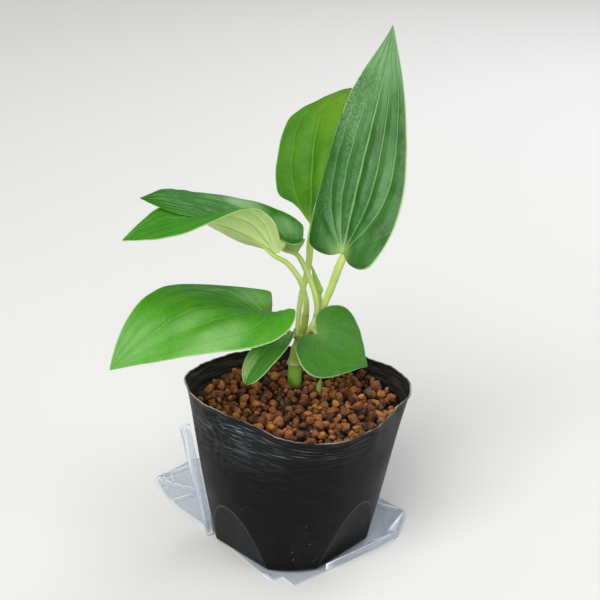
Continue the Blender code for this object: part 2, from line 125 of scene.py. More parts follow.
# Each leaf has the place where its blade meets the stalk, its length, the half widths, how far the ears
# reach back and how full the sides are (left, right), and angles in degrees, each as four values that are
# blended from the base to the tip: the heading round Z, the climb, the roll, and how far each half folds
# up. A curl is the further bend of a half in degrees for each 10 mm outwards, at the base and at the tip.
# The stalk is a list of places, and its radii are those at its foot and its top. Pads, ladder and wave
# are the heights in mm of the quilting, of the cross folds and of the edge's waves. Painted sheen patches
# (lighter colour put where the leaf shines), puckers and spots are soft ovals on the flat blade: mm
# forward, mm to the right, half length, half width and strength.
LEAVES = {
    "tall_leaf": {
        "base": (21.0, 22.0, 116.5), "length": 93.0, "half_widths": (18.7, 21.4),
        "ears": (0.2, 0.3), "fullness": (0.4, 0.1),
        "heading": (45, 38, 39, 80), "climb": (74, 74, 72, 56), "roll": (-8, -24, -12, -28),
        "fold_left": (9, -7, -7, 9), "fold_right": (23, -1, 4, 12),
        "curl_left": (-10, -12.5), "curl_right": (-6, -6.7),
        "stalk": ((12.8, 25.0, 90.3), (14.3, 24.6, 94.2), (17.0, 23.6, 102.0), (19.4, 22.5, 110.1)),
        "stalk_radii": (1.35, 1.7), "pads": 1.1, "ladder": 0.5, "wave": 0.4,
        "waxy": (
            (88, 0, 34, 18, 0.4), (33, 12, 18, 3.4, 0.18), (58, -9, 24, 9, 0.24), (9, -4, 8, 3, 0.1),
            (30, 4, 14, 2, 0.12), (8, 9, 8, 4, 0.1),
        ),
        "puckers": ((57, -10, 22, 8, 0.9), (66, -3, 14, 4, 0.6), (20, -14, 16, 4, 0.3)),
        "veins": ((0.0, 1.0), (0.38, 0.75), (0.74, 0.6), (1.5, 0.1)),
    },
    "back_leaf": {
        "base": (8.2, 48.7, 118.9), "length": 71.6, "half_widths": (16.8, 16.5),
        "outlines": (SHOULDERED_OUTLINE, WEDGE_OUTLINE), "ears": (0.8, 0.8), "fullness": (-0.7, 0.3),
        "heading": (70, 104, 62.5, 41), "climb": (80.5, 87.5, 20.5, 4.5), "roll": (25.5, 34, -4, -10.5),
        "fold_left": (18.5, 4, 11, 3.5), "fold_right": (9, 12, 8, 5.5),
        "curl_left": (-8.2, -5.3), "curl_right": (-4, -5),
        "stalk": ((2.4, 29.0, 74.5), (2.8, 31.5, 79.3), (3.5, 35.2, 85.8), (4.6, 39.2, 91.4),
                  (6.1, 42.5, 96.3), (7.7, 45.4, 103.5), (8.2, 47.0, 111.2)),
        "stalk_radii": (0.95, 1.5), "pads": 0.5, "waves": 2,
        "veins": ((0.0, 1.0), (0.6, 0.7), (1.8, 0.15)),
        "waxy": ((52, 5, 24, 12, 0.42), (20, 6, 16, 5, 0.35)),
        "spots": ((55.5, 4.0, 1.2, 1.1, 1.0), (70.5, 0.0, 5.0, 5.0, 0.6)),
    },
    "upper_left_leaf": {
        "base": (3.0, 28.0, 114.5), "length": 76.1, "half_widths": (22.3, 22.1),
        "ears": (0.1, 0.1), "fullness": (-0.9, 0.4),
        "heading": (177.5, 199.5, 236.5, 205.5), "climb": (13.5, 62, 5.5, 23), "roll": (0, 4, -1, 72.5),
        "fold_left": (63, 23, 34, -50.5), "fold_right": (17.5, 49, -25, -1.5),
        "curl_left": (-26.6, -3.1), "curl_right": (-1.0, -14.3),
        "stalk": ((10.6, 22.2, 89.8), (10.8, 22.2, 92.4), (10.3, 22.8, 96.1), (9.3, 24.0, 100.2),
                  (6.8, 26.2, 106.3)),
        "stalk_radii": (1.15, 1.3), "rounding": 34, "pads": 0.5,
        "waxy": ((23, 17, 13, 8, 0.62), (7, 13, 9, 8, 0.48), (32, 16, 12, 4, 0.2)),
    },
    "twisted_leaf": {
        "base": (-5.8, 10.0, 120.8), "length": 67.5, "half_widths": (24.1, 17.9),
        "ears": (0.2, -0.2), "fullness": (0.9, 0.0),
        "heading": (156.5, 196.5, 244.5, 183), "climb": (32.5, 33, 7.5, -29), "roll": (-56.5, -46.5, 6, 34),
        "fold_left": (13.5, 37, -4, 39), "fold_right": (33.5, -15, 39, 28),
        "curl_left": (-22.7, -1.0), "curl_right": (-1.0, -3.8),
        "stalk": ((6.1, 22.8, 89.6), (6.3, 20.0, 93.4), (6.0, 16.5, 98.8), (3.7, 12.0, 108.8),
                  (-1.2, 10.3, 116.6)),
        "stalk_radii": (1.35, 1.1), "rounding": 24, "pads": 0.4, "ladder": 0.04, "wave": 0.25,
    },
    "broad_leaf": {
        "base": (-9.0, 15.0, 89.6), "length": 82.0, "half_widths": (31.2, 18.3),
        "ears": (0.0, 0.1), "fullness": (0.2, 0.7),
        "heading": (192, 251, 221, 202.5), "climb": (25.5, 49, -40.5, -34), "roll": (-10, 8.5, 14, 46),
        "fold_left": (44, -9, 7, -2), "fold_right": (45, -5, 14, 14),
        "curl_left": (-14.3, -7.7), "curl_right": (-6.4, -7.2),
        "stalk": ((1.2, 22.6, 79.7), (-1.0, 20.8, 82.2), (-4.5, 18.0, 85.5)),
        "stalk_radii": (1.1, 1.1), "rounding": 30, "pads": 0.6, "ladder": 0.06,
        "spots": ((0.0, 5.0, 3.5, 3.5, 0.5),),
        "waxy": (
            (70, 2, 22, 13, 0.22), (46, -19, 28, 9, 0.42), (45, -4.6, 16, 7, 0.24), (5, 11, 10, 7, 0.38),
        ),
    },
    "heart_leaf": {
        "base": (11.0, 12.0, 85.2), "length": 24.0, "half_widths": (18.5, 19.5),
        "ears": (1.4, 1.4), "fullness": (0.1, 0.2),
        "heading": (-22, -19, -15, -12), "climb": (-24, -26, -30, -37), "roll": (-17, -14, -29, -21),
        "fold_left": (17, 4, 8, 8), "fold_right": (10, -1, -2, 0),
        "curl_left": (-6, -8), "curl_right": (-9, -9),
        "stalk": ((7.6, 21.6, 80.0), (8.0, 19.0, 83.0), (9.2, 15.5, 85.3)),
        "stalk_radii": (1.0, 0.9), "pads": 0.3, "ladder": 0.03, "wave": 0.2, "waves": 2, "pale": 0.15,
    },
    "small_leaf": {
        "base": (0.5, 11.0, 85.5), "length": 29.1, "half_widths": (11.0, 6.1),
        "ears": (0.2, 0.2), "fullness": (1.0, 1.0),
        "heading": (202.5, 225.5, 223.5, 225), "climb": (-13.5, -11, -42, -64.5),
        "roll": (-28.5, 5.5, -4, 15),
        "fold_left": (16, 5, 23.5, 16), "fold_right": (6, 7, 22.5, 21.5),
        "curl_left": (-7.4, -5.8), "curl_right": (-6.4, -5.3),
        "stalk": ((3.0, 21.6, 76.2), (2.2, 18.0, 80.3), (1.3, 14.5, 83.2)),
        "stalk_radii": (0.8, 0.7), "pads": 0.2, "ladder": 0.02, "wave": 0.1, "waves": 2,
        "waxy": ((22.5, 2.5, 9, 4, 0.8),),
    },
}

# Each vein lies at a share of the half width far from the notch, and leaves the notch at the matching
# angle. The last ones end in the ears. The second number is its strength, from the midrib's 1.
VEINS = ((0.0, 1.0), (0.38, 0.8), (0.74, 0.7), (1.5, 0.2), (4.5, 0.12))
VEIN_SPREAD = 0.2
# What a leaf has where its own entry says nothing else.
USUAL_LEAF = {
    "outlines": (BLADE_OUTLINE, BLADE_OUTLINE), "veins": VEINS, "rounding": 11, "pale": 0.5,
    "ladder": 0.05, "wave": 0.3, "waves": 3, "waxy": (), "puckers": (), "spots": (),
}
LARGE_LEAF_LENGTH = 50
BLADE_THICKNESS = 0.34
VEIN_WIDTH = 0.42
MIDRIB_WIDENING = 1.5
GROOVE_WIDENING = 2.6
MARGIN_WIDTH = 0.4
PAD_WIDTH = 3.0
SWELL_HEIGHT = 0.2
PUCKER_RELIEF = 0.8
LADDER_STEP = 3.4
# How far the veins sink into the upper side and stand out of the lower one.
VEIN_SINK = 0.12
VEIN_RISE = 0.3
EDGE_ROUNDING = 0.035
LARGE_LEAF_GRID = (200, 121)
SMALL_LEAF_GRID = (110, 81)
MARGIN_POINTS = 401

STEM_ROUTE = (
    (1.5, 25.0, 50.5, 3.0), (1.5, 25.0, 59.0, 3.0), (1.5, 25.0, 64.6, 2.7), (1.5, 25.0, 66.3, 3.2),
    (1.7, 25.0, 68.0, 2.6), (2.7, 25.0, 73.0, 2.5), (4.4, 25.0, 79.0, 1.9), (5.5, 24.8, 83.0, 1.5),
    (6.0, 24.2, 88.5, 1.6),
)
SHOOT_ROUTE = (
    (4.0, 25.0, 75.5, 1.4), (7.4, 25.0, 78.5, 1.6), (9.3, 25.0, 82.0, 1.9), (11.0, 25.0, 86.0, 2.3),
    (11.6, 25.0, 88.2, 2.5),
)
ROLLED_LEAF_ROUTE = (
    (12.0, 28.4, 88.2, 1.1), (12.0, 28.6, 91.0, 1.0), (11.8, 28.8, 95.4, 1.0), (11.7, 28.9, 96.8, 1.0),
    (11.7, 28.9, 97.2, 1.75), (11.1, 28.9, 99.4, 1.4), (9.9, 28.8, 103.5, 0.95), (8.6, 28.6, 108.0, 0.4),
)
SHEATH_ROUTE = (
    (8.4, 24.0, 77.0, 1.8), (8.8, 23.3, 80.2, 2.6), (9.3, 22.9, 83.2, 2.1), (9.7, 22.7, 86.2, 1.15),
    (9.9, 22.9, 88.2, 0.25),
)
STRAND_ROUTES = (
    ((3.0, 23.8, 78.6, 0.3), (2.2, 22.4, 79.8, 0.28), (1.7, 21.6, 81.5, 0.25), (1.2, 21.2, 83.6, 0.12)),
    ((3.2, 23.6, 77.6, 0.3), (2.7, 22.2, 78.6, 0.26), (2.0, 21.4, 79.6, 0.2), (1.9, 21.0, 80.8, 0.1)),
)
NODE_HEIGHTS = (66.1, 79.5)
NODE_HALF_WIDTH = 0.55
# A stem's end dome, its rings and its height as a share of the radius.
DOME_RINGS = 4
DOME_SHARE = 0.8
SPROUT_ROUTE = (
    (11.5, 12.7, 56.5, 1.0), (11.5, 12.5, 61.0, 1.2), (11.8, 12.0, 63.0, 0.9), (12.2, 11.5, 65.0, 0.4),
)

BAG_OUTLINE = (
    (-61.0, 42.0), (-55.0, 28.0), (-51.5, 22.0), (-32.5, -1.5), (-27.0, -10.5), (-10.5, -34.5),
    (-7.5, -37.5), (-3.5, -35.0), (1.0, -41.0), (13.0, -31.5), (42.0, -9.0), (45.5, -2.0),
    (49.0, 10.0), (48.5, 14.5), (38.5, 27.0), (12.0, 52.0), (-28.0, 64.0), (-45.5, 60.5),
)
BAG_MIDDLE = (0.0, 6.0)
FLAP_FOOT = ((-32.6, -3.0), (-35.2, -3.4), (-36.6, 5.0))
FLAP_TOP = ((-41.0, -4.2), (-44.8, -3.8), (-45.2, 6.4))
FLAP_HEIGHT = 53.0
FLAP_BACK_DROP = 0.13
TURNED_EDGE = ((13.6, -30.4), (41.2, -8.6), (44.6, -1.9), (48.0, 10.0))
TURNED_HEIGHT = 4.0
# The flat film's straight folds: from (x, y) to (x, y), the height of the tent over it and its half width.
FILM_FOLDS = (
    (-52.0, 22.5, -43.0, 27.0, 1.3, 4.0), (-60.5, 40.5, -37.0, 30.0, 0.5, 5.0),
    (-59.0, 42.5, -43.0, 54.5, 1.2, 4.0), (-31.5, -3.0, -9.5, -34.0, 0.9, 3.0),
    (-28.0, -8.0, -15.0, -20.0, 0.6, 2.0), (40.0, -4.5, 47.5, 11.0, 1.2, 4.0),
    (36.5, 20.0, 47.0, 14.5, 0.8, 3.5), (20.5, -15.5, 41.5, -6.5, 1.0, 3.5),
    (14.0, -27.0, 36.0, -12.0, 0.5, 2.5), (-41.0, 57.0, -12.0, 38.0, 0.9, 5.0),
    (-27.0, 62.0, -22.0, 36.0, 0.6, 4.0), (8.0, 50.0, 37.0, 26.5, 0.9, 4.0),
)
FOLD_LINE = 0.5
CRINKLED_AT = (-56.0, 41.0)


def spline(a, b, c, d, share):
    """A Catmull-Rom curve from b to c, between the neighbours a and d, at a share of the way."""
    bend = (2 * a - 5 * b + 4 * c - d) * share**2
    return 0.5 * (2 * b + (c - a) * share + bend + (3 * b - 3 * c + d - a) * share**3)


def smooth_path(points, count):
    """Points spread evenly by number on a Catmull-Rom curve through the given ones."""
    points = np.asarray(points, float)
    last = len(points) - 1
    padded = np.vstack([2 * points[0] - points[1], points, 2 * points[-1] - points[-2]])
    place = np.linspace(0, last, count)
    start = np.minimum(place.astype(int), last - 1)
    share = (place - start)[:, None]
    return spline(*[padded[start + step] for step in range(4)], share)


def wave(values, degrees):
    """A smooth closed curve through values spread evenly round a circle, read at any angle."""
    values = np.asarray(values, float)
    place = np.asarray(degrees, float) / 360 * len(values)
    start = np.floor(place).astype(int)
    return spline(*[values[(start + step) % len(values)] for step in (-1, 0, 1, 2)], place - start)


def full_turn(end, count):
    """Even angles round a circle up to its end. The last is the first again, so that the seam closes."""
    angles = np.linspace(0, end, count)
    angles[-1] = 0
    return angles


def travelled(points):
    """The way walked along a line of points, at each of them."""
    return np.concatenate([[0], np.cumsum(np.linalg.norm(np.diff(points, axis=0), axis=1))])


def blend(values, share):
    """The Bezier blend of a few values, at shares from 0 to 1 of the way."""
    degree = len(values) - 1
    terms = [
        math.comb(degree, k) * share**k * (1 - share) ** (degree - k) * value
        for k, value in enumerate(values)
    ]
    return sum(terms)


def ease(value, low, high):
    """0 below low, 1 above high, and a smooth S between."""
    share = np.clip((value - low) / (high - low), 0, 1)
    return share * share * (3 - 2 * share)


def shell(points, slot=0, uv=None, **values):
    """A grid of points as one part of a piece: rows by columns of places, with its material slot, a UV
    place for each point and named values for the materials."""
    rows, columns = points.shape[:2]
    index = np.arange(rows * columns).reshape(rows, columns)
    quads = np.stack([index[:-1, :-1], index[:-1, 1:], index[1:, 1:], index[1:, :-1]], -1)
    if uv is None:
        uv = np.zeros((rows, columns, 2))
    return {
        "points": points.reshape(-1, 3),
        "quads": quads.reshape(-1, 4),
        "slot": slot,
        "uv": uv.reshape(-1, 2),
        "values": {name: np.broadcast_to(value, (rows, columns)).ravel() for name, value in values.items()},
    }


def make_piece(name, shells, materials, smooth=True):
    """Joins grid parts into one mesh object: doubled points are merged, which closes seams and poles,
    and the faces are turned outwards."""
    points = np.concatenate([part["points"] for part in shells]) * MM
    offsets = np.cumsum([0] + [len(part["points"]) for part in shells])
    quads = np.concatenate([part["quads"] + start for part, start in zip(shells, offsets)])
    slots = np.concatenate([np.full(len(part["quads"]), part["slot"]) for part in shells])
    uv = np.concatenate([part["uv"] for part in shells])
    mesh = bpy.data.meshes.new(name)
    mesh.vertices.add(len(points))
    mesh.vertices.foreach_set("co", points.astype(np.float32).ravel())
    mesh.loops.add(quads.size)
    mesh.loops.foreach_set("vertex_index", quads.astype(np.int32).ravel())
    mesh.polygons.add(len(quads))
    mesh.polygons.foreach_set("loop_start", np.arange(0, quads.size, 4, dtype=np.int32))
    mesh.polygons.foreach_set("material_index", slots.astype(np.int32))
    mesh.polygons.foreach_set("use_smooth", np.full(len(quads), smooth))
    mesh.update(calc_edges=True)
    layer = mesh.uv_layers.new(name="flat")
    layer.uv.foreach_set("vector", uv[quads.ravel()].astype(np.float32).ravel())
    for value_name in sorted({key for part in shells for key in part["values"]}):
        blank = [part["values"].get(value_name, np.zeros(len(part["points"]))) for part in shells]
        attribute = mesh.attributes.new(value_name, "FLOAT", "POINT")
        attribute.data.foreach_set("value", np.concatenate(blank).astype(np.float32))
    close_mesh(mesh)
    for material in materials:
        mesh.materials.append(material)
    piece = bpy.data.objects.new(name, mesh)
    bpy.context.scene.collection.objects.link(piece)
    return piece


def close_mesh(mesh):
    shape = bmesh.new()
    shape.from_mesh(mesh)
    bmesh.ops.remove_doubles(shape, verts=shape.verts, dist=MERGE_DISTANCE)
    bmesh.ops.dissolve_degenerate(shape, edges=shape.edges, dist=MERGE_DISTANCE / 10)
    bmesh.ops.recalc_face_normals(shape, faces=shape.faces)
    shape.to_mesh(mesh)
    shape.free()


def stands_for(piece, node):
    """The piece rides on the one body and hides its plain solid."""
    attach(piece, "root")
    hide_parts(node)


def linear(hex_colour):
    """An sRGB hex colour as linear red, green, blue and alpha."""
    channels = [int(hex_colour[k:k + 2], 16) / 255 for k in (1, 3, 5)]
    return (*[c / 12.92 if c <= 0.04045 else ((c + 0.055) / 1.055) ** 2.4 for c in channels], 1.0)


def new_material(name):
    """An empty material, and add_node made ready for its tree."""
    material = bpy.data.materials.new(name)
    material.use_nodes = True
    material.node_tree.nodes.clear()
    return material, partial(add_node, material.node_tree)


def add_node(tree, kind, inputs=(), output=0, **settings):
    """Adds a node with its settings and gives one of its outputs. The inputs are values or linked outputs,
    in the node's own order or by name or number."""
    node = tree.nodes.new("ShaderNode" + kind)
    for key, value in settings.items():
        setattr(node, key, value)
    for key, value in inputs.items() if isinstance(inputs, dict) else enumerate(inputs):
        if isinstance(value, bpy.types.NodeSocket):
            tree.links.new(value, node.inputs[key])
        else:
            node.inputs[key].default_value = value
    return node.outputs[output] if node.outputs else node


# How many mm one unit of a pattern's place is: on a flat map of a blade or stalk, and in the object's
# own coordinates. A pattern's scale is one of these over the size of its cells.
FLAT_UNIT = 100.0
METRE = 1000.0

# Settings that many nodes share.
TIMES = {"operation": "MULTIPLY"}
TIMES_PLUS = {"operation": "MULTIPLY_ADD"}
SMOOTH = {"interpolation_type": "SMOOTHSTEP"}
COLOUR = {"data_type": "RGBA"}


def leaf_material(name, look, veins):
    """Living leaf tissue under a glossy cuticle: a patchy green with paler sunken veins and a thin pale
    margin, a faint net of veinlets, a bluish bloom in random patches, painted sheen as paler colour in the
    given patches, a satin shine that breaks up over the small relief, and light that glows through the
    blade."""
    material, add = new_material(name)
    look = {key: linear(value) if isinstance(value, str) else value for key, value in look.items()}
    flat = add("UVMap", uv_map="flat")
    carried = {
        key: add("Attribute", output="Fac", attribute_name=key)
        for key in ("vein_angle", "vein_reach", "fading", "margin", "pale", "tinge", "waxy", "puckered")
    }
    patches = add("TexNoise", {"Vector": flat, "Scale": FLAT_UNIT / 11.11, "Detail": 3.0}, "Fac")
    long_way = add("Mapping", {"Vector": flat, "Scale": (FLAT_UNIT / 40, FLAT_UNIT / 11.11, 1.0)})
    bloom_noise = add("TexNoise", {"Vector": long_way, "Scale": 1.0, "Detail": 3.0}, "Fac")
    quilt = add("TexNoise", {"Vector": flat, "Scale": FLAT_UNIT / 3.333, "Detail": 2.0}, "Fac")
    bend_uv = add("TexNoise", {"Vector": flat, "Scale": FLAT_UNIT / 2.222, "Detail": 2.0}, "Color")
    bent_uv = add("Mix", {0: 0.022, 6: flat, 7: bend_uv}, 2, **COLOUR)
    # Veinlets enclose cells about 2.6 mm across. The finest relief stands for far smaller skin cells.
    cells = add("TexVoronoi", {"Vector": bent_uv, "Scale": FLAT_UNIT / 2.632}, feature="DISTANCE_TO_EDGE")
    net = add("MapRange", (cells, 0.0, 0.2, 1.0, 0.0), **SMOOTH)
    grain = add("TexNoise", {"Vector": flat, "Scale": FLAT_UNIT / 0.238, "Detail": 2.0}, "Fac")
    vein, groove = vein_masks(add, carried, veins)
    tone = add("MapRange", (patches, 0.3, 0.7))
    # Random bluish bloom patches, and painted sheen in the given patches, both mixed towards one pale
    # colour.
    bloom = add("MapRange", (bloom_noise, 0.47, 0.66, 0.0, look["bloom"]), **SMOOTH)
    bloom_and_painted_sheen = add("Math", (bloom, carried["waxy"]), operation="ADD", use_clamp=True)
    net_share = add("Math", (net, look["net"]), **TIMES)
    vein_share = add("Math", (vein, look["vein_share"]), **TIMES)
    colour = look["deep"]
    for mask, key in (
        (tone, "green"), (bloom_and_painted_sheen, "bloom_and_sheen"), (net_share, "vein"), (vein_share, "vein"),
        (carried["pale"], "base"), (carried["tinge"], "tinge"), (carried["margin"], "margin"),
    ):
        colour = add("Mix", {0: mask, 6: colour, 7: look[key]}, 2, **COLOUR)
    roughness = add("MapRange", (quilt, 0.3, 0.7, look["roughness"] - 0.05, look["roughness"] + 0.07))
    fine_relief = add("Math", (grain, 0.05, quilt), **TIMES_PLUS)
    net_depth = add("Math", (carried["puckered"], -PUCKER_RELIEF, -look["net_relief"]), **TIMES_PLUS)
    netted_relief = add("Math", (net, net_depth, fine_relief), **TIMES_PLUS)
    relief = add("Math", (groove, -look["groove"], netted_relief), **TIMES_PLUS)
    bump = add("Bump", {"Height": relief, "Strength": 1.0, "Distance": 0.00035})
    skin = add("BsdfPrincipled", {
        "Base Color": colour, "Roughness": roughness, "IOR": 1.45, "Specular IOR Level": look["gloss"],
        "Normal": bump,
    })
    lit = add("Mix", {0: 1.0, 6: colour, 7: look["glow"]}, 2, blend_type="MULTIPLY", **COLOUR)
    through = add("BsdfTranslucent", (lit, bump))
    both = add("MixShader", (look["through"], skin, through))
    add("OutputMaterial", (both,))
    return material


def vein_masks(add, carried, veins):
    """A narrow pale line and a wider soft groove along every vein, from the angle that is even along each
    vein and the local width in that angle. Both fade towards the tip."""
    masks = {"line": 0.0, "groove": 0.0}
    for share, strength in veins:
        off = add("Math", (carried["vein_angle"], math.atan(share)), operation="SUBTRACT")
        size = add("Math", (off,), operation="ABSOLUTE")
        widths = add("Math", (size, carried["vein_reach"]), operation="DIVIDE")
        narrow = MIDRIB_WIDENING if share == 0 else 1.0
        for kind, reach in (("line", narrow), ("groove", GROOVE_WIDENING * narrow)):
            mask = add("MapRange", (widths, 0.0, reach, strength, 0.0), **SMOOTH)
            masks[kind] = add("Math", (masks[kind], mask), operation="MAXIMUM")
    return [add("Math", (mask, carried["fading"]), **TIMES) for mask in masks.values()]


UPPER_LOOK = {
    "green": "#4c982a", "deep": "#3b8522", "vein": "#a5cf68", "base": "#b6d878", "margin": "#cfe6a4",
    "bloom_and_sheen": "#86b78c", "tinge": "#8a7a35", "net": 0.03, "net_relief": 0.12, "vein_share": 0.6, "groove": 0.9,
    "roughness": 0.36, "gloss": 0.5, "bloom": 0.12, "glow": "#f3ffa8", "through": 0.25,
}
UNDER_LOOK = {
    "green": "#a9c96c", "deep": "#9cc060", "vein": "#d4e69c", "base": "#d4e69c", "margin": "#dcebb4",
    "bloom_and_sheen": "#c3d8a4", "tinge": "#a08a4a", "net": 0.08, "net_relief": -0.15, "vein_share": 0.45,
    "groove": -0.9, "roughness": 0.5, "gloss": 0.4, "bloom": 0.2, "glow": "#f4ffb0", "through": 0.3,
}
LEAF_LOOKS = {
    "tall_leaf": (
        {"green": "#326c22", "deep": "#255918", "vein": "#8cb878", "bloom_and_sheen": "#8fba84", "bloom": 0.12,
         "through": 0.12, "vein_share": 0.75, "gloss": 0.45},
        {"green": "#7aa456", "deep": "#6c9849"},
    ),
    "back_leaf": (
        {"green": "#55921a", "deep": "#458414", "vein": "#8fc23c", "through": 0.4, "roughness": 0.5,
         "bloom_and_sheen": "#8cba2c", "bloom": 0.08, "vein_share": 0.45, "gloss": 0.35},
        {"green": "#86b43c", "deep": "#78a834", "through": 0.4},
    ),
    "upper_left_leaf": (
        {"green": "#35891a", "deep": "#297612", "bloom_and_sheen": "#a4cd92", "bloom": 0.03, "gloss": 0.2},
        {},
    ),
    "twisted_leaf": (
        {"green": "#4a9c1c", "deep": "#3c8a16", "bloom": 0.05, "through": 0.4, "gloss": 0.35},
        {"green": "#e9fab0", "deep": "#dcf39c", "vein": "#f4fbcc", "through": 0.33, "glow": "#ffffd6",
         "roughness": 0.42, "bloom": 0.05},
    ),
    "broad_leaf": (
        {"green": "#52a621", "deep": "#47991b", "bloom_and_sheen": "#b0da94", "bloom": 0.06, "vein_share": 0.4,
         "through": 0.3, "gloss": 0.35},
        {},
    ),
    "heart_leaf": (
        {"green": "#458622", "deep": "#3c7c20", "roughness": 0.5, "vein_share": 0.3, "gloss": 0.3,
         "bloom": 0.05},
        {},
    ),
    "small_leaf": (
        {"green": "#57a42c", "deep": "#439222", "bloom_and_sheen": "#b4da8c", "roughness": 0.36, "bloom": 0.05},
        {},
    ),
}


def stalk_material(name, low_hex, high_hex):
    """Juicy stalk tissue: pale green with faint lengthwise streaks, whitish rings at the nodes, a soft wet
    gloss and light that passes into it."""
    material, add = new_material(name)
    flat = add("UVMap", uv_map="flat")
    along = add("Attribute", output="Fac", attribute_name="along")
    # Fourteen streaks round the stalk, each about 17 mm long.
    stretched = add("Mapping", {"Vector": flat, "Scale": (FLAT_UNIT / 16.67, 14.0, 1.0)})
    streaks = add("TexNoise", {"Vector": stretched, "Scale": 1.0, "Detail": 4.0}, "Fac")
    share = add("MapRange", (streaks, 0.38, 0.72, 0.0, 0.5))
    ring = add("Attribute", output="Fac", attribute_name="node")
    ring_share = add("Math", (ring, 0.7), **TIMES)
    colour = linear(low_hex)
    for mask, over in ((along, high_hex), (share, "#9dbf4e"), (ring_share, "#e4e2b4")):
        colour = add("Mix", {0: mask, 6: colour, 7: linear(over)}, 2, **COLOUR)
    bump = add("Bump", {"Height": streaks, "Strength": 0.4, "Distance": 0.0002})
    skin = add("BsdfPrincipled", {"Base Color": colour, "Roughness": 0.34, "IOR": 1.45, "Normal": bump})
    through = add("BsdfTranslucent", (colour,))
    both = add("MixShader", (0.25, skin, through))
    add("OutputMaterial", (both,))
    return material


def pot_material():
    """Thin blown black polyethylene: near black with a soft gloss; fine whitish lines where the soft wall
    was crumpled, on the ribs under the rim and at the left, which are stress whitening and painted
    highlight; a thin light line round each flat, a fold's whitening with painted highlight; pale dust in
    specks low down, and a rim worn grey and tan by handling."""
    material, add = new_material("black_polyethylene_pot")
    place = add("TexCoord", output="Object")
    worn, dusty, stressed, gap, level = (
        add("Attribute", output="Fac", attribute_name=key)
        for key in ("worn", "dusty", "stressed", "gap", "level")
    )
    cloud = add("TexNoise", {"Vector": place, "Scale": METRE / 14.29, "Detail": 5.0}, "Fac")
    fine = add("TexNoise", {"Vector": place, "Scale": METRE / 1.111, "Detail": 4.0}, "Fac")
    across, deep, _ = add("SeparateXYZ", (place,), slice(None))
    unrolled = add("CombineXYZ", (across, deep, level))
    # Scuffs lie level, about 10 mm long and under half a millimetre tall.
    lying = add("Mapping", {"Vector": unrolled, "Scale": (METRE / 10.53, METRE / 10.53, METRE / 0.4348)})
    scuffs = add("TexNoise", {"Vector": lying, "Scale": 1.0, "Detail": 4.0, "Distortion": 0.25}, "Fac")
    specks = add("TexVoronoi", {"Vector": place, "Scale": METRE / 3.03}, "Distance")
    speck = add("MapRange", (specks, 0.15, 0.08))
    smear = add("MapRange", (cloud, 0.52, 0.76), **SMOOTH)
    scuff = add("MapRange", (scuffs, 0.52, 0.7), **SMOOTH)
    dust_share = add("Math", (smear, dusty), **TIMES)
    thin_dust = add("Math", (dust_share, 0.06), **TIMES)
    speck_share = add("Math", (speck, dust_share), **TIMES)
    # Whitish streaks at the crumples and on the ribs: stress whitening and painted highlight.
    scuffed_stress_and_sheen = add("Math", (scuff, stressed), **TIMES)
    aside = add("Math", (gap,), operation="ABSOLUTE")
    # A thin light line round each flat: a fold's whitening and painted highlight.
    crease = add("MapRange", (aside, 0.0, CREASE_GAP, 0.22, 0.0), **SMOOTH)
    crease_highlight_share = add("Math", (crease, cloud), **TIMES)
    wear_edge = add("Math", (scuffs, 4.0, -1.4), **TIMES_PLUS)
    wear = add("Math", (worn, wear_edge), operation="MULTIPLY", use_clamp=True)
    haze = add("Math", (cloud, stressed), **TIMES)
    stress_and_sheen_share = add("Math", (haze, 0.08, scuffed_stress_and_sheen), **TIMES_PLUS)
    colour = linear("#08090a")
    for mask, over in (
        (thin_dust, "#6d6a66"), (speck_share, "#b3ada2"), (stress_and_sheen_share, "#8b9095"),
        (crease_highlight_share, "#a09b92"), (wear, "#b3ab98"),
    ):
        colour = add("Mix", {0: mask, 6: colour, 7: linear(over)}, 2, **COLOUR)
    roughness = add("MapRange", (cloud, 0.3, 0.7, 0.4, 0.55))
    relief = add("Math", (scuffs, 0.6, fine), **TIMES_PLUS)
    bump = add("Bump", {"Height": relief, "Strength": 0.2, "Distance": 0.0002})
    skin = add("BsdfPrincipled", {
        "Base Color": colour, "Roughness": roughness, "IOR": 1.5, "Specular IOR Level": 0.12,
        "Normal": bump,
    })
    add("OutputMaterial", (skin,))
    return material


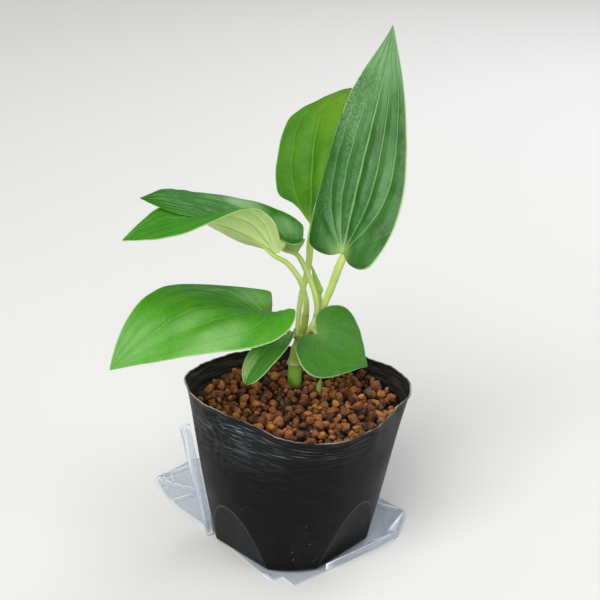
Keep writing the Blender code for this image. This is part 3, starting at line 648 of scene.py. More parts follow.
def grain_material():
    """Fired clay grains, hard and porous: tan and orange brown, dark brown in random damp patches, and
    darker on each grain's underside and deeper in the bed as painted shade, with a rough crumbly skin of
    paler crumbs and pits darkened as painted shade."""
    material, add = new_material("fired_clay_grains")
    place = add("TexCoord", output="Object")
    tone, moist = (add("Attribute", output="Fac", attribute_name=key) for key in ("tone", "moist"))
    # Damp spreads in patches of 2 mm. Pits and crumbs are drawn as coarse as the render can show.
    cloud = add("TexNoise", {"Vector": place, "Scale": METRE / 2.381, "Detail": 5.0}, "Fac")
    crumbs = add("TexNoise", {"Vector": place, "Scale": METRE / 0.6667, "Detail": 4.0}, "Fac")
    pits = add("TexVoronoi", {"Vector": place, "Scale": METRE / 1.111}, "Distance")
    dry = add("Mix", {0: tone, 6: linear("#83451f"), 7: linear("#be7d3f")}, 2, **COLOUR)
    # This dark brown stands for damp and for painted shade alike.
    dark_damp_and_shade = add("Mix", {0: tone, 6: linear("#211812"), 7: linear("#4c2f1b")}, 2, **COLOUR)
    share = add("Math", (cloud, 2.2, -1.0), **TIMES_PLUS)
    damp_and_shade_share = add("Math", (share, moist), operation="ADD", use_clamp=True)
    # The pits are painted darker: painted shade in the pores.
    pit_shade = add("MapRange", (pits, 0.3, 0.1, 0.0, 0.6))
    speck = add("MapRange", (crumbs, 0.6, 0.78, 0.0, 0.45))
    colour = dry
    for mask, over in ((damp_and_shade_share, dark_damp_and_shade), (pit_shade, linear("#22150d")), (speck, linear("#cf9a62"))):
        colour = add("Mix", {0: mask, 6: colour, 7: over}, 2, **COLOUR)
    relief = add("Math", (crumbs, 0.8, pits), **TIMES_PLUS)
    bump = add("Bump", {"Height": relief, "Strength": 0.9, "Distance": 0.0006})
    skin = add("BsdfPrincipled", {
        "Base Color": colour, "Roughness": 0.75, "IOR": 1.5, "Specular IOR Level": 0.35, "Normal": bump,
    })
    add("OutputMaterial", (skin,))
    return material


def film_material():
    """Clear polyethylene film: most light passes, it shines at a slant, it is whiter along creases and
    edges, partly as whitened film and partly as painted highlight, and it has a slight bluish milky haze."""
    material, add = new_material("clear_polyethylene_film")
    place = add("TexCoord", output="Object")
    crease, milky = (add("Attribute", output="Fac", attribute_name=key) for key in ("crease", "milky"))
    ripples = add("TexNoise", {"Vector": place, "Scale": METRE / 22.22, "Detail": 2.0}, "Fac")
    bump = add("Bump", {"Height": ripples, "Strength": 0.4, "Distance": 0.0008})
    edge_on = add("LayerWeight", {"Blend": 0.3, "Normal": bump}, "Facing")
    haze = add("Math", (milky, 0.3, 0.055), **TIMES_PLUS)
    # Creases and edges get the whiter film: whitened film and painted highlight.
    creased_and_highlit = add("Math", (crease, 0.75, haze), **TIMES_PLUS)
    share = add("Math", (edge_on, 0.2, creased_and_highlit), operation="MULTIPLY_ADD", use_clamp=True)
    tint = add("Mix", {0: crease, 6: linear("#cdd2de"), 7: linear("#f8fafd")}, 2, **COLOUR)
    skin = add("BsdfPrincipled", {
        "Base Color": tint, "Roughness": 0.16, "IOR": 1.5, "Specular IOR Level": 0.8, "Normal": bump,
    })
    clear = add("BsdfTransparent", (linear("#f7f9fb"),))
    both = add("MixShader", (share, clear, skin))
    add("OutputMaterial", (both,))
    return material


def plain_material(name, hex_colour):
    """An even matt surface without gloss, for the floor."""
    material, add = new_material(name)
    skin = add("BsdfPrincipled", {
        "Base Color": linear(hex_colour), "Roughness": 1.0, "Specular IOR Level": 0.0,
    })
    add("OutputMaterial", (skin,))
    return material


def heading_of(leaf, share):
    """Unit vectors along the midrib, to its right and out of its upper side, at a share of its length."""
    turn = np.radians(blend(leaf["heading"], share))
    climb = np.radians(blend(leaf["climb"], share))
    roll = np.radians(blend(leaf["roll"], share))[..., None]
    along = np.stack([np.cos(climb) * np.cos(turn), np.cos(climb) * np.sin(turn), np.sin(climb)], -1)
    level = np.stack([np.sin(turn), -np.cos(turn), 0 * turn], -1)
    upright = np.cross(level, along)
    right = np.cos(roll) * level + np.sin(roll) * upright
    return along, right, np.cos(roll) * upright - np.sin(roll) * level


def midrib(leaf, share, steps=80):
    """The midrib's points: the leaf's headings added up from the base, each a short step of its length."""
    middles = (np.arange(steps) + 0.5) / steps
    along, _, _ = heading_of(leaf, middles)
    joints = np.vstack([np.zeros(3), np.cumsum(along * leaf["length"] / steps, axis=0)])
    joints += leaf["base"]
    places = np.linspace(0, 1, steps + 1)
    return np.stack([np.interp(share, places, joints[:, axis]) for axis in range(3)], -1)


def margin_line(leaf, side, count=MARGIN_POINTS):
    """One margin of the flat blade in mm forward and out: the outline's spline scaled to the leaf, its
    sides made fuller by a bow, its corners rounded by averaging neighbours."""
    outline = smooth_path(leaf["outlines"][side], count)
    forward = outline[:, 0] + leaf["fullness"][side] * outline[:, 0] * (1 - outline[:, 0])
    forward = np.where(outline[:, 0] < 0, outline[:, 0] * leaf["ears"][side], forward) * leaf["length"]
    out = outline[:, 1] * leaf["half_widths"][side]
    half_window = leaf["rounding"]
    kernel = np.hanning(2 * half_window + 1)
    kernel /= kernel.sum()
    weight = np.clip(np.minimum(np.arange(count), np.arange(count)[::-1]) / (2.0 * half_window), 0, 1)
    rounded = []
    for line in (forward, out):
        padded = np.pad(line, half_window, mode="reflect", reflect_type="odd")
        rounded.append(line + weight * (np.convolve(padded, kernel, "valid") - line))
    return rounded


def bent_blade(leaf, forward, out, left):
    """Flat points bent to the leaf's form, with the upper side's normals. The midrib is the sum of the
    headings. Each half leaves it at the fold angle, and its slope grows outwards by the curl."""
    share = np.clip(forward / leaf["length"], 0, 1)
    along, right, up = heading_of(leaf, share)
    spine = midrib(leaf, share) + np.minimum(forward, 0)[..., None] * along
    fold, curl = (
        np.radians(np.where(left, blend(leaf[key + "_left"], share), blend(leaf[key + "_right"], share)))
        for key in ("fold", "curl")
    )
    curl = curl / 10
    slope = fold + curl * out
    sideways = (np.sin(slope) - np.sin(fold)) / curl
    lift = (np.cos(fold) - np.cos(slope)) / curl
    side = np.where(left, -1.0, 1.0)[..., None]
    points = spine + side * sideways[..., None] * right + lift[..., None] * up
    soft_slope = fold * (1 - np.exp(-out / 1.2)) + curl * out
    normals = np.cos(soft_slope)[..., None] * up - side * np.sin(soft_slope)[..., None] * right
    return points, normals


def vein_angle(leaf, side, forward, out):
    """A coordinate that is even along every vein: far from the notch the share of the half width, near
    it the angle round it, blended by an arctangent of the share over a rising forward term."""
    rim_forward, rim_out = margin_line(leaf, side)
    peak = int(np.argmax(rim_out))
    half = np.interp(forward, rim_forward[peak:], rim_out[peak:])
    half = np.maximum(half, 0.05 * rim_out[peak])
    return np.arctan2(out / half, np.tanh(forward / (VEIN_SPREAD * leaf["length"])))


def vein_field(leaf, side, forward, out):
    """The veins' even coordinate at each point, and its slope there for each mm."""
    step = 0.05
    here = vein_angle(leaf, side, forward, out)
    ahead = vein_angle(leaf, side, forward + step, out) - here
    aside = vein_angle(leaf, side, forward, out + step) - here
    return here, np.maximum(np.hypot(ahead, aside) / step, 1e-4)


def blade_grid(leaf, rows, columns):
    """The flat blade's grid: across runs from the left margin to the right, along from the notch to the
    tip. Each point has its place in mm forward and out, the veins' even coordinate and its slope."""
    even = np.linspace(-1, 1, columns)
    across = np.sign(even) * (1 - (1 - np.abs(even)) ** 1.25)
    across, along = np.meshgrid(across, np.linspace(0, 1, rows))
    left = across < 0
    reach = np.abs(across)
    halves = []
    for side in (0, 1):
        rim_forward, rim_out = margin_line(leaf, side)
        places = np.linspace(0, 1, len(rim_forward))
        edge_forward = np.interp(along, places, rim_forward)
        forward = (1 - reach) * leaf["length"] * along**2.2 + reach * edge_forward
        out = reach * np.interp(along, places, rim_out)
        halves.append((forward, out, *vein_field(leaf, side, forward, out)))
    return left, reach, along, *[np.where(left, *pair) for pair in zip(*halves)]


def tissue_relief(leaf, left, reach, along, forward, signed_out, nearest, away_from_ends, seed):
    """How far the tissue stands off the bent blade, in mm: pads between the veins, short cross folds
    beside the left margin, a wave along the edge and broad uneven swells."""
    phases = np.random.default_rng(seed).uniform(0, math.tau, 9)
    share = np.clip(forward / leaf["length"], 0, 1)
    out = np.abs(signed_out)
    pads = leaf["pads"] * (1 - np.exp(-((nearest / PAD_WIDTH) ** 2))) * away_from_ends * (1 - reach**6)
    # The cross folds' run and depth drift over the blade.
    drift = 2.6 * np.sin(out / 3.9 + phases[0] + np.sin(forward / 5.7))
    drift = drift + 2.2 * np.sin(forward / 7.1 + phases[1])
    ladder = np.sin(math.tau * (forward + 0.8 * out) / LADDER_STEP + drift)
    ladder *= leaf["ladder"] * ease(nearest, 0.6, 2.0) * away_from_ends
    ladder *= 0.55 + 0.45 * np.sin(forward / 3.3 + phases[7]) * np.sin(out / 2.9 + phases[8])
    strip = ease(reach, 0.15, 0.6) * ease(share, 0.3, 0.5) * (1 - ease(share, 0.7, 0.85))
    ladder *= np.where(left, strip, 0.05)
    edge_wave = leaf["wave"] * reach**3 * np.sin(leaf["waves"] * math.tau * along + phases[3])
    edge_wave *= ease(along, 0.15, 0.35) * (1 - ease(along, 0.85, 1.0))
    # The swells lie about 12 mm from crest to crest.
    swell = np.sin(forward / 2.1 + phases[4] + 1.3 * np.sin(signed_out / 3.7 + phases[5]))
    swell = swell * np.sin(signed_out / 2.4 + phases[6]) * SWELL_HEIGHT * away_from_ends
    return pads + ladder + edge_wave + swell


def blade_shells(leaf, rows, columns, seed):
    """The blade's upper and lower skins over one grid. They carry the tissue's relief, sink at the veins
    above and rise at them below, and meet at the margin."""
    left, reach, along, forward, out, angle, slope = blade_grid(leaf, rows, columns)
    points, normals = bent_blade(leaf, forward, out, left)
    share = np.clip(forward / leaf["length"], 0, 1)
    notch_distance = np.hypot(forward, out)
    width = VEIN_WIDTH * (1.35 - 0.95 * ease(share, 0.0, 1.0)) * min(1.0, leaf["length"] / 60)
    ridge = np.zeros_like(reach)
    nearest = np.full_like(reach, FAR)
    for vein_share, strength in leaf["veins"]:
        distance = np.abs(angle - math.atan(vein_share)) / slope
        nearest = np.minimum(nearest, distance)
        ridge = np.maximum(ridge, strength * np.exp(-((distance / (1.7 * width)) ** 2)))
    away_from_ends = ease(notch_distance, 1.0, 9.0) * (1 - ease(share, 0.86, 1.0))
    signed_out = np.where(left, -out, out)
    sheet = tissue_relief(
        leaf, left, reach, along, forward, signed_out, nearest, away_from_ends, seed
    )
    round_edge = np.sqrt(np.clip(1 - np.clip((reach - 1) / EDGE_ROUNDING + 1, 0, 1) ** 2, 0, 1))
    round_ends = np.sqrt(np.clip(along / 0.01, 0, 1) * np.clip((1 - along) / 0.01, 0, 1))
    closed = round_edge * round_ends
    half_thickness = 0.5 * BLADE_THICKNESS * closed
    upper = points + normals * (sheet + half_thickness - VEIN_SINK * ridge * closed)[..., None]
    lower = points + normals * (sheet - half_thickness - VEIN_RISE * ridge * closed)[..., None]
    uv = np.stack([forward, signed_out], -1) / FLAT_UNIT
    margin_from = 1 - MARGIN_WIDTH / max(leaf["half_widths"])
    details = {
        "vein_angle": angle,
        "vein_reach": slope * width,
        "fading": 1 - 0.75 * ease(share, 0.55, 1.0),
        "margin": 0.75 * ease(reach, margin_from - 0.015, margin_from + 0.01) * ease(along, 0.02, 0.06),
        "pale": leaf["pale"] * np.exp(-((notch_distance / 4.5) ** 2)),
        "tinge": soft_spots(leaf["spots"], forward, signed_out),
        # The given sheen patches are painted lighter colour.
        "waxy": soft_spots(leaf["waxy"], forward, signed_out),
        "puckered": soft_spots(leaf["puckers"], forward, signed_out),
    }
    return [
        shell(upper, 0, uv, **details),
        shell(lower[:, ::-1], 1, uv[:, ::-1], **{key: value[:, ::-1] for key, value in details.items()}),
    ]


def soft_spots(spots, forward, signed_out):
    """Soft oval spots on the flat blade, each of a given place, half length, half width and strength."""
    mask = np.zeros_like(forward)
    for place_forward, place_out, half_length, half_width, strength in spots:
        away = np.hypot((forward - place_forward) / half_length, (signed_out - place_out) / half_width)
        mask = np.maximum(mask, strength * (1 - ease(away, 0.2, 1.0)))
    return mask


def carried_frame(heading, groove_to):
    """The side direction at each ring of a stem, carried along the stem without twist."""
    side_way = np.cross(heading[0], np.asarray(groove_to, float))
    if np.linalg.norm(side_way) < 0.05:
        side_way = np.array([1.0, 0.0, 0.0])
    frames = []
    for direction in heading:
        side_way = side_way - direction * (side_way @ direction)
        side_way = side_way / np.linalg.norm(side_way)
        frames.append(side_way)
    return np.array(frames)


def tube_shell(
    route, rings, sides, slot=0, groove=0.0, groove_to=(0.0, 0.0, 1.0), nodes=(), changes_at=None
):
    """A round stem along a smooth route of (x, y, z, radius). Its frame is carried along without twist,
    its ends are domes, and a groove lowers the radius round one direction. Its colour runs from the foot
    to the top, or changes at one height, and has a ring at each node's height."""
    path = smooth_path(route, rings)
    middles = path[:, :3]
    radii = path[:, 3].copy()
    heading = np.gradient(middles, axis=0)
    heading /= np.linalg.norm(heading, axis=1)[:, None]
    side_way = carried_frame(heading, groove_to)
    top_way = np.cross(side_way, heading)
    # The end domes: a few more rings that shrink to a point along a quarter circle.
    quarter = np.linspace(0, math.pi / 2, DOME_RINGS + 1)[1:, None]
    foot = middles[0] - heading[0] * radii[0] * DOME_SHARE * np.sin(quarter[::-1])
    top = middles[-1] + heading[-1] * radii[-1] * DOME_SHARE * np.sin(quarter)
    middles = np.vstack([foot, middles, top])
    shrink = np.cos(quarter[:, 0])
    radii = np.concatenate([radii[0] * shrink[::-1], radii, radii[-1] * shrink])
    side_way, top_way = (
        np.pad(way, ((DOME_RINGS, DOME_RINGS), (0, 0)), mode="edge") for way in (side_way, top_way)
    )
    angle = full_turn(math.tau, sides + 1)
    dip = 1 - groove * np.exp(-(((angle - math.pi / 2) / 0.55) ** 2))
    ring_side = np.cos(angle) * dip
    ring_top = np.sin(angle) * dip
    points = middles[:, None] + radii[:, None, None] * (
        ring_side[None, :, None] * side_way[:, None] + ring_top[None, :, None] * top_way[:, None]
    )
    share = np.linspace(0, 1, len(middles))
    way = travelled(middles)[:, None] / FLAT_UNIT
    uv = np.stack(np.broadcast_arrays(way, np.linspace(0, 1, sides + 1)[None]), -1)
    level = middles[:, 2]
    if changes_at is not None:
        share = ease(level, changes_at - 0.6, changes_at + 0.6)
    node = sum(np.exp(-(((level - height) / NODE_HALF_WIDTH) ** 2)) for height in nodes) + 0 * level
    even = np.ones(sides + 1)
    return shell(points, slot, uv, along=share[:, None] * even, node=node[:, None] * even)


def leaf_stalk_route(leaf):
    """The stalk's own route, then under the blade along its midrib, where it thins to the rib."""
    foot_radius, top_radius = leaf["stalk_radii"]
    own = np.asarray(leaf["stalk"], float)
    radii = np.linspace(foot_radius, top_radius, len(own))
    share = np.array([0.0, 0.07, 0.15, 0.25, 0.4])
    rib_radii = np.array([0.85, 0.62, 0.48, 0.36, 0.2]) * top_radius
    _, _, up = heading_of(leaf, share)
    under = midrib(leaf, share) - up * (1.1 * rib_radii)[:, None]
    return np.vstack([np.column_stack([own, radii]), np.column_stack([under, rib_radii])])


def add_leaf(name, seed):
    leaf = {**USUAL_LEAF, **LEAVES[name]}
    large = leaf["length"] > LARGE_LEAF_LENGTH
    rows, columns = LARGE_LEAF_GRID if large else SMALL_LEAF_GRID
    upper_look, under_look = LEAF_LOOKS[name]
    materials = [
        leaf_material(name + "_upper_skin", {**UPPER_LOOK, **upper_look}, leaf["veins"]),
        leaf_material(name + "_under_skin", {**UNDER_LOOK, **under_look}, leaf["veins"]),
        stalk_material(name + "_stalk_skin", "#dbe98f", "#bcdc6c"),
    ]
    _, _, up = heading_of(leaf, np.array([0.0]))
    stalk = tube_shell(leaf_stalk_route(leaf), 90, 22, slot=2, groove=0.16, groove_to=up[0])
    piece = make_piece(name + "_living", blade_shells(leaf, rows, columns, seed) + [stalk], materials)
    stands_for(piece, name)


def rise_of(height):
    """A height as a share of the pot's, held a little past 1 over the rim."""
    return np.clip(height / POT_HEIGHT, 0, 1.05)


def pot_wall(degrees, height):
    """The pot's outer radius at an angle and a height over its foot: a cone to the round rim, moved out
    or in towards the soft rim by a high power of the height, and cut back by four flats that lean out
    from the foot. The cut's border is rounded: the lower of the two, less a logarithm of their closeness.
    Near the rim it also has small dents, crumples at the pressed-in front left and fine ribs."""
    cone, cut = pot_cone(degrees, height), pot_flats(degrees, height)
    rise = rise_of(height)
    turn = np.radians(degrees)
    dents = 0.35 * np.sin(7 * turn + 0.7) + 0.3 * np.sin(11 * turn + 2.1)
    dents = dents + 0.2 * np.sin(19 * turn + 4.0)
    cone = cone + dents * rise**6 + 0.12 * np.sin(3 * turn + height / 9.0) * rise
    cone = cone + crumples(degrees, height) + RIB_PROUD * rim_ribs(degrees, height)
    return np.minimum(cone, cut) - BORDER_ROUNDING * np.log1p(np.exp(-np.abs(cone - cut) / BORDER_ROUNDING))


def rim_ribs(degrees, height):
    """Fine level ribs a few mm under the rim, clearest at the front."""
    depths = POT_HEIGHT - height + 0.25 * np.sin(np.radians(degrees) * 5)
    ribs = sum(np.exp(-(((depths - depth) / 0.3) ** 2)) for depth in RIB_DEPTHS)
    return ribs * (0.25 + 0.75 * around(degrees, RIBS_AT, 45))


def pot_cone(degrees, height):
    rise = rise_of(height)
    cone = FOOT_RADIUS + (RIM_RADIUS - FOOT_RADIUS) * rise
    return cone + (wave(RIM_RADII, degrees) - RIM_RADIUS) * rise**PRESSED_POWER


def pot_flats(degrees, height):
    """The four flats' distance from the pot's middle, and a large one where there is no flat."""
    flat_foot = FOOT_RADIUS * math.cos(math.radians(FACET_HALF_WIDTH))
    flat_top = FOOT_RADIUS + (RIM_RADIUS - FOOT_RADIUS) * FACET_HEIGHT / POT_HEIGHT
    flat = flat_foot + (flat_top - flat_foot) * height / FACET_HEIGHT
    nearest = FAR
    for direction in FACET_DIRECTIONS:
        facing = np.cos(np.radians(aside_of(degrees, direction)))
        nearest = np.minimum(nearest, np.where(facing > 0.3, flat / np.maximum(facing, 0.3), FAR))
    return nearest


def aside_of(degrees, direction):
    """How far an angle lies from a direction, from -180 to 180 degrees."""
    return (degrees - direction + 180) % 360 - 180


def around(degrees, direction, width):
    """1 at a direction, falling off smoothly over a width in degrees."""
    return np.exp(-((aside_of(degrees, direction) / width) ** 2))


def crumples(degrees, height):
    """Small slanting creases pressed into the soft wall below the rim, deepest at the front left."""
    place = around(degrees, CRUMPLED_AT, 34) * ease(height, 38, 54) * (1 - ease(height, 61.5, 64))
    bow = 0.5 * np.sin(height / 3.1) + 0.35 * np.sin(degrees / 9.0)
    first = triangle_wave(degrees / 8.0 + height / 9.0 + bow)
    second = triangle_wave(degrees / 13.0 - height / 5.0 + 1.3 * bow)
    return CRUMPLE_DEPTH * place * (0.5 * first + 0.5 * second - 0.5)


def pot_place(degrees, radius, height):
    """The place of a point of the pot: its middle leans to the rim's middle, the rim's front left lifts a
    little, and its edge is slightly ragged."""
    rise = rise_of(height)
    lift = RIM_LIFT * around(degrees, RIM_LIFT_AT, 45)
    turn = np.radians(degrees)
    ragged = 0.09 * np.sin(37 * turn + 1.0) + 0.08 * np.sin(71 * turn + 2.0 * np.sin(5 * turn))
    return np.stack([
        radius * np.cos(turn) + RIM_SHIFT * rise,
        radius * np.sin(turn),
        POT_FOOT + height + lift * rise**4 + ragged * rise**40,
    ], -1)


def pot_rows():
    """The wall's section as (share of the radius, inset, height, wear), from the middle of the foot up
    the outer side, over the rolled rim and down the inner side to the middle of the floor."""
    rows = [(share, 0.0, 0.0, 0.0) for share in (0.0, 0.3, 0.6, 0.85, 0.95)]
    rows += [(0.985, 0.0, 0.15, 0.1), (1.0, 0.0, 0.7, 0.15)]
    rows += [(1.0, 0.0, height, 0.0) for height in np.arange(1.3, 36.0, 0.6)]
    rows += [(1.0, 0.0, height, 0.0) for height in np.arange(36.0, POT_HEIGHT - 1.6, 0.3)]
    middle = POT_HEIGHT - BEAD_RADIUS
    for angle in np.linspace(-1.2, math.pi + 0.4, 14):
        out = BEAD_RADIUS * (0.25 + math.cos(angle))
        rows.append((1.0, -out, middle + BEAD_RADIUS * math.sin(angle), max(0.1, math.sin(angle)) ** 2))
    rows += [(1.0, POT_WALL, height, 0.1) for height in np.arange(POT_HEIGHT - 1.6, 48.0, -0.8)]
    rows += [(1.0, POT_WALL, height, 0.0) for height in np.arange(44.0, 3.0, -6.0)]
    rows += [(share, POT_WALL, POT_WALL, 0.0) for share in (0.96, 0.6, 0.3, 0.0)]
    return np.array(rows)


def add_pot():
    section = pot_rows()
    degrees = full_turn(360, POT_COLUMNS)
    share, inset, height, worn = (section[:, k][:, None] for k in range(4))
    degrees, height, worn = np.broadcast_arrays(degrees[None], height, worn)
    radius = share * (pot_wall(degrees, height) - inset)
    points = pot_place(degrees, radius, height)
    low = 1 - ease(height, 8, 38)
    below_rim = ease(height, 42, 58)
    outside = inset == 0
    # Whitish streaks below the rim, at the crumpled front left, on the ribs and at the left: stress
    # whitening and painted highlight.
    stressed = outside * (0.34 * around(degrees, CRUMPLED_AT, 26) * below_rim + 0.015 + 0.05 * below_rim)
    stressed = stressed + outside * 0.45 * rim_ribs(degrees, height)
    stressed = stressed + 0.3 * around(degrees, 175, 25) * below_rim
    bright = 0.75 + 0.5 * np.maximum(around(degrees, -40, 28), around(degrees, 170, 32))
    wall = shell(
        points, worn=worn * bright, dusty=0.2 + 0.8 * low, stressed=stressed, level=height * MM,
        gap=np.clip(pot_flats(degrees, height) - pot_cone(degrees, height), -3, 3),
    )
    stands_for(make_piece("nursery_pot_blown", [wall], [pot_material()]), "nursery_pot")


def lump(seed):
    """One angular grain of 54 squares: a cube's grid pushed towards a sphere, cut by a few flat
    planes and dented by a smooth wave, with its largest radius at 1. It is a list of six square grids."""
    rng = np.random.default_rng(seed)
    line = np.linspace(-1, 1, 4)
    a, b = np.meshgrid(line, line)
    one = np.ones_like(a)
    sides = [(a, b, one), (b, a, -one), (one, a, b), (-one, b, a), (b, one, a), (a, -one, b)]
    grid = np.array([np.stack(side, -1) for side in sides])
    length = np.linalg.norm(grid, axis=-1, keepdims=True)
    grid = 0.35 * grid / 1.25 + 0.65 * grid / length
    ways = rng.normal(0, 1, (7, 3))
    for way in ways / np.linalg.norm(ways, axis=1, keepdims=True):
        depth = grid @ way
        cut = rng.uniform(0.5, 0.8)
        grid = grid - np.maximum(depth - cut, 0)[..., None] * way
    grid = grid * rng.uniform(0.7, 1.1, 3)
    grid = grid * (1 + 0.06 * np.sin(grid @ rng.normal(0, 2.5, 3) + rng.uniform(0, math.tau)))[..., None]
    return grid / np.linalg.norm(grid, axis=-1).max()


def room_to_wall(x, y, height):
    """How far a place inside the pot is from its wall, in mm, at a height over the foot."""
    middle = RIM_SHIFT * height / POT_HEIGHT
    degrees = np.degrees(np.arctan2(y, x - middle)) % 360
    return pot_wall(degrees, height) - POT_WALL - np.hypot(x - middle, y)


def dropped_grains(rng):
    """Grains dropped one by one: each tries several places, and rests at the lowest, which is where its
    sphere first touches those below. The stem and the sprout push grains aside. A grain keeps its own
    radius from the wall over the whole depth of the loose layer."""
    placed = np.empty((0, 4))
    floor = SOIL_LEVEL - LOOSE_DEPTH
    target = SOIL_LEVEL + 1.0
    misses = 0
    while misses < MISSES_WHEN_FULL:
        radius = float(np.clip(rng.lognormal(math.log(GRAIN_RADIUS), 0.32), *GRAIN_RADIUS_LIMITS))
        tries = rng.uniform(-46, 46, (TRIES_FOR_A_GRAIN, 2))
        rooms = [
            room_to_wall(tries[:, 0], tries[:, 1], level - POT_FOOT)
            for level in (floor, SOIL_LEVEL - 2, SOIL_LEVEL, SOIL_LEVEL + 2)
        ]
        clear = np.min(rooms, axis=0) > radius + 0.25
        for x, y, thickness in FEET:
            clear &= np.hypot(tries[:, 0] - x, tries[:, 1] - y) > thickness + radius * 0.85
        tries = tries[clear]
        if not len(tries):
            continue
        height = np.full(len(tries), floor + radius)
        if len(placed):
            gap = np.hypot(*(tries[:, None, :] - placed[None, :, :2]).transpose(2, 0, 1))
            touch = GRAIN_TOUCH * (radius + placed[None, :, 3])
            on_top = placed[None, :, 2] + np.sqrt(np.maximum(touch**2 - gap**2, 0))
            height = np.maximum(height, np.where(gap < touch, on_top, -FAR).max(1))
        best = int(np.argmin(height))
        if height[best] + 0.6 * radius > target + 1.2:
            misses += 1
            continue
        placed = np.vstack([placed, [*tries[best], height[best], radius]])
    return placed


def add_grains():
    rng = np.random.default_rng(5)
    spheres = dropped_grains(rng)
    shapes = [lump(seed) for seed in range(GRAIN_SHAPES)]
    shells = []
    for x, y, z, radius in spheres:
        turn = np.linalg.qr(rng.normal(size=(3, 3)))[0]
        tone = rng.uniform() ** 1.3
        # Damp differs at random from grain to grain; grains lower in the bed are darker as painted shade.
        moist = float(np.clip(rng.normal(0.3, 0.33), 0, 1)) + 0.3 * (SOIL_LEVEL + 1.0 - z) / LOOSE_DEPTH
        for grid in shapes[rng.integers(len(shapes))]:
            turned = grid @ turn
            # The underside of each grain is darker, as painted shade.
            grain_damp_and_shade = moist + 0.45 * (0.2 - turned[..., 2])
            shells.append(shell(turned * radius * 1.12 + (x, y, z), tone=tone, moist=grain_damp_and_shade))
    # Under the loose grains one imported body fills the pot, so that no light comes through the gaps.
    degrees = full_turn(360, BED_COLUMNS)
    top = SOIL_LEVEL - LOOSE_DEPTH + 2.0 - POT_FOOT
    section = [(share, top) for share in np.linspace(0, 1, 12)]
    section += [(1.0, height) for height in np.linspace(top - 1.5, 4, 14)] + [(0.9, 1.3), (0.0, 1.3)]
    share, height = np.array(section).T[:, :, None]
    radius = share * (pot_wall(degrees[None], height) - POT_WALL - 0.5)
    points = pot_place(*np.broadcast_arrays(degrees, radius, height))
    uneven = 0.8 * np.sin(points[..., 0] / 1.7) * np.sin(points[..., 1] / 1.9 + 1.0)
    points[..., 2] += np.where((np.abs(height - top) < 0.01) & (share < 0.98), uneven, 0)
    # The bed gets the darkest colour, as painted shade in the gaps between the grains.
    shells.append(shell(points, tone=0.0, moist=2.0))
    grains = make_piece("fired_clay_grain_bed", shells, [grain_material()], smooth=False)
    stands_for(grains, "grain_bed")


def add_stems():
    skins = [
        stalk_material("main_stem_skin", "#9bd450", "#b6cc50"),
        stalk_material("pale_sheath_skin", "#eff7b4", "#e6f4a2"),
    ]
    parts = [
        tube_shell(STEM_ROUTE, 110, 32, nodes=NODE_HEIGHTS, changes_at=NODE_HEIGHTS[0]),
        tube_shell(SHOOT_ROUTE, 40, 26, groove=0.1),
        tube_shell(SHEATH_ROUTE, 40, 22, slot=1, groove=0.12, groove_to=(0.0, -1.0, 0.2)),
    ]
    parts += [tube_shell(route, 20, 10, slot=1) for route in STRAND_ROUTES]
    rolled = tube_shell(ROLLED_LEAF_ROUTE, 110, 24, groove=0.25)
    rolled_skin = stalk_material("rolled_leaf_skin", "#cfe084", "#a5cc58")
    sprout = tube_shell(SPROUT_ROUTE, 30, 18, groove=0.1)
    sprout_skin = stalk_material("sprout_skin", "#b9c983", "#8fb34e")
    for name, shells, materials, node in (
        ("jointed_main_stem", parts, skins, "main_stem"),
        ("rolled_leaf_and_sheath", [rolled], [rolled_skin], "rolled_young_leaf"),
        ("green_sprout_tip", [sprout], [sprout_skin], "soil_sprout"),
    ):
        stands_for(make_piece(name, shells, materials), node)


def triangle_wave(value):
    """A zigzag between 0 and 1 with a period of 1, for sharp folds."""
    return np.abs((value % 1.0) * 2 - 1)


def film_folds(x, y):
    """The film's height over the floor and a line brightness, which is whitening and painted highlight
    along the folds and crinkles: straight folds stand like low tents over their lines, long swells lie
    between them, and one corner is crinkled small."""
    height = 0.25 + 0.25 * np.sin(x / 9.0 + y / 14.0) * np.sin(y / 11.0 - x / 17.0)
    line = np.zeros_like(x)
    for start_x, start_y, end_x, end_y, peak, half_width in FILM_FOLDS:
        run = np.array([end_x - start_x, end_y - start_y])
        share = np.clip(((x - start_x) * run[0] + (y - start_y) * run[1]) / (run @ run), 0, 1)
        away = np.hypot(x - start_x - share * run[0], y - start_y - share * run[1])
        height = height + peak * np.clip(1 - away / half_width, 0, 1)
        line = np.maximum(line, np.exp(-((away / FOLD_LINE) ** 2)) * (0.4 + 0.6 * np.sin(math.pi * share)))
    crinkled = np.exp(-(((x - CRINKLED_AT[0]) ** 2 + (y - CRINKLED_AT[1]) ** 2) / 60.0))
    first = triangle_wave(x / 3.1 + y / 7.0 + 0.3 * np.sin(y / 2.0))
    second = triangle_wave(y / 3.7 - x / 5.2 + 0.3 * np.sin(x / 2.3))
    height = height + 1.1 * crinkled * (first + second) / 2
    line = np.maximum(line, crinkled * np.maximum(ease(first, 0.75, 1.0), ease(second, 0.8, 1.0)))
    return height, line


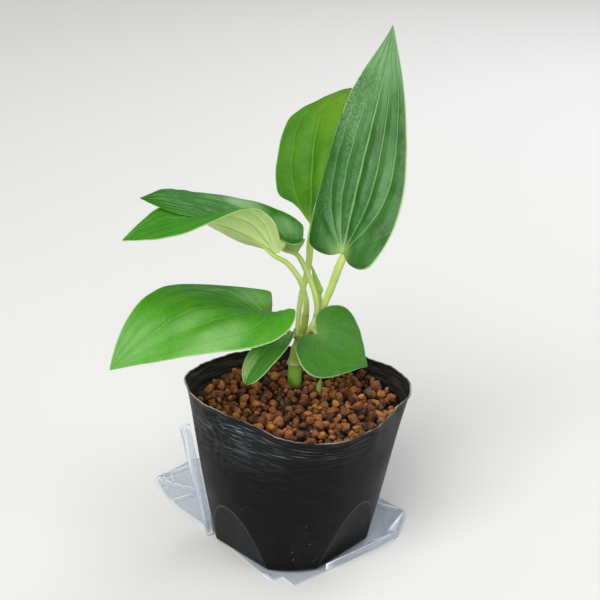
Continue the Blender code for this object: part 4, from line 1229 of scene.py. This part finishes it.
def add_bag():
    """The flattened bag is a closed skin of two layers over one outline, flat under the pot and lifted in
    sharp folds outside it. A standing flap and a turned-up edge are closed skins of their own."""
    corners = np.array(BAG_OUTLINE + BAG_OUTLINE[:1])
    lengths = travelled(corners)
    walk = np.linspace(0, lengths[-1], 541)
    edge = np.stack([np.interp(walk, lengths, corners[:, axis]) for axis in range(2)], -1)
    rings = np.linspace(0, 1, 66) ** 0.5
    middle = np.array(BAG_MIDDLE)
    flat = middle + rings[:, None, None] * (edge[None] - middle)
    x, y = flat[..., 0], flat[..., 1]
    outside = ease(np.hypot(x, y), FOOT_RADIUS + 0.3, FOOT_RADIUS + 4.0)
    height, line = film_folds(x, y)
    closing = 1 - ease(rings, 0.975, 1.0)[:, None]
    lower = 0.03 + 0.2 * outside * height
    upper = lower + closing * (0.25 + 0.9 * outside * height)
    milky = np.maximum(ease(x, 33.0, 42.0), 0.45 * ease(-y, 14.0, 26.0))
    shells = []
    for level in (upper, lower):
        points = np.dstack([x, y, level])
        # The folds and the outer edge are painted whiter: whitened film and painted highlight.
        border = 0.8 * (1 - closing) * np.ones_like(x)
        shells.append(shell(points, crease=np.maximum(line * outside, border), milky=milky))
    shells += standing_film(FLAP_FOOT, FLAP_TOP, FLAP_HEIGHT, 60, 40, FLAP_BACK_DROP)
    edge_top = [(px * 1.015, py * 1.015) for px, py in TURNED_EDGE]
    shells += standing_film(TURNED_EDGE, edge_top, TURNED_HEIGHT, 12, 90)
    bag = make_piece("folded_clear_bag", shells, [film_material()])
    stands_for(bag, "clear_bag")


def standing_film(foot, top, height, rows, columns, back_drop=0.0):
    """A strip of doubled film that stands from a bent line on the floor to another at its top: two skins
    a little apart that meet at every edge."""
    foot = smooth_path(foot, columns)
    top = smooth_path(top, columns)
    up = np.linspace(0, 1, rows)[:, None, None]
    flat = foot + (top - foot) * up
    share = np.linspace(0, 1, columns)[None]
    level = 0.2 + (height - 0.2) * up[..., 0] * (1 - back_drop * ease(share, 0.3, 1.0))
    across = np.gradient(flat, axis=1)
    normal = np.stack([across[..., 1], -across[..., 0]], -1)
    normal /= np.linalg.norm(normal, axis=-1, keepdims=True)
    swell = np.sqrt(np.clip(np.sin(math.pi * up[..., 0]) * np.sin(math.pi * share), 0, 1))
    bow = triangle_wave(1.1 * share + level / 70.0)
    edge = 1 - ease(swell, 0.0, 0.4)
    shells = []
    for side in (1, -1):
        moved = flat + normal * (side * 0.2 * swell + 0.5 * (bow - 0.5) * swell)[..., None]
        points = np.dstack([moved[..., 0], moved[..., 1], level])
        # The bends and the edges are painted whiter: whitened film and painted highlight.
        crease = np.maximum(0.7 * ease(bow, 0.85, 1.0), edge)
        shells.append(shell(points, crease=crease, milky=0.8))
    return shells


def add_floor():
    bpy.ops.mesh.primitive_plane_add(size=FLOOR_SIZE, location=(0, 0, 0))
    floor = bpy.context.object
    floor.name = "studio_floor"
    floor.data.materials.append(plain_material("pale_paper", "#dfddd9"))


def aim(name, data, place, target):
    """A camera or a lamp put at a place and turned to a target, both in metres."""
    aimed = bpy.data.objects.new(name, data)
    aimed.location = place
    aimed.rotation_euler = (Vector(target) - Vector(place)).to_track_quat("-Z", "Y").to_euler()
    bpy.context.scene.collection.objects.link(aimed)
    return aimed


def add_light(name, kind, place, watts, size, tint):
    """A lamp aimed at the plant."""
    lamp = bpy.data.lights.new(name, kind)
    if kind == "AREA":
        lamp.shape = "RECTANGLE"
        lamp.size, lamp.size_y = size
    else:
        lamp.angle = math.radians(size)
    lamp.energy = watts
    lamp.color = tint
    aim(name, lamp, place, LAMP_AIM)


def add_studio():
    """A dim even sky, one wide soft sun for the form, and softboxes for the sheen. The camera sees the
    sky as bright as the far floor, so that no horizon shows from the sides."""
    world = bpy.data.worlds.new("soft_studio")
    world.use_nodes = True
    world.node_tree.nodes.clear()
    add = partial(add_node, world.node_tree)
    sky = add("Background", (linear("#eef2f7"), 0.3))
    seen = add("Background", (linear("#dfdddb"), 1.0))
    straight = add("LightPath", output="Is Camera Ray")
    both = add("MixShader", (straight, sky, seen))
    add("OutputWorld", (both,))
    bpy.context.scene.world = world
    for lamp in LAMPS:
        add_light(*lamp)


def add_camera():
    """The photograph's own camera, solved from the pot's rim, foot and flats."""
    lens = bpy.data.cameras.new("photo_camera")
    lens.sensor_width = SENSOR_WIDTH
    lens.lens = LENS_LENGTH
    lens.clip_start = 0.01
    bpy.context.scene.camera = aim("photo_camera", lens, CAMERA_PLACE, CAMERA_AIM)


add_camera()
add_studio()
add_floor()
add_bag()
add_pot()
add_grains()
add_stems()
for number, leaf_name in enumerate(LEAVES):
    add_leaf(leaf_name, number)

bpy.context.scene.view_settings.view_transform = "Standard"
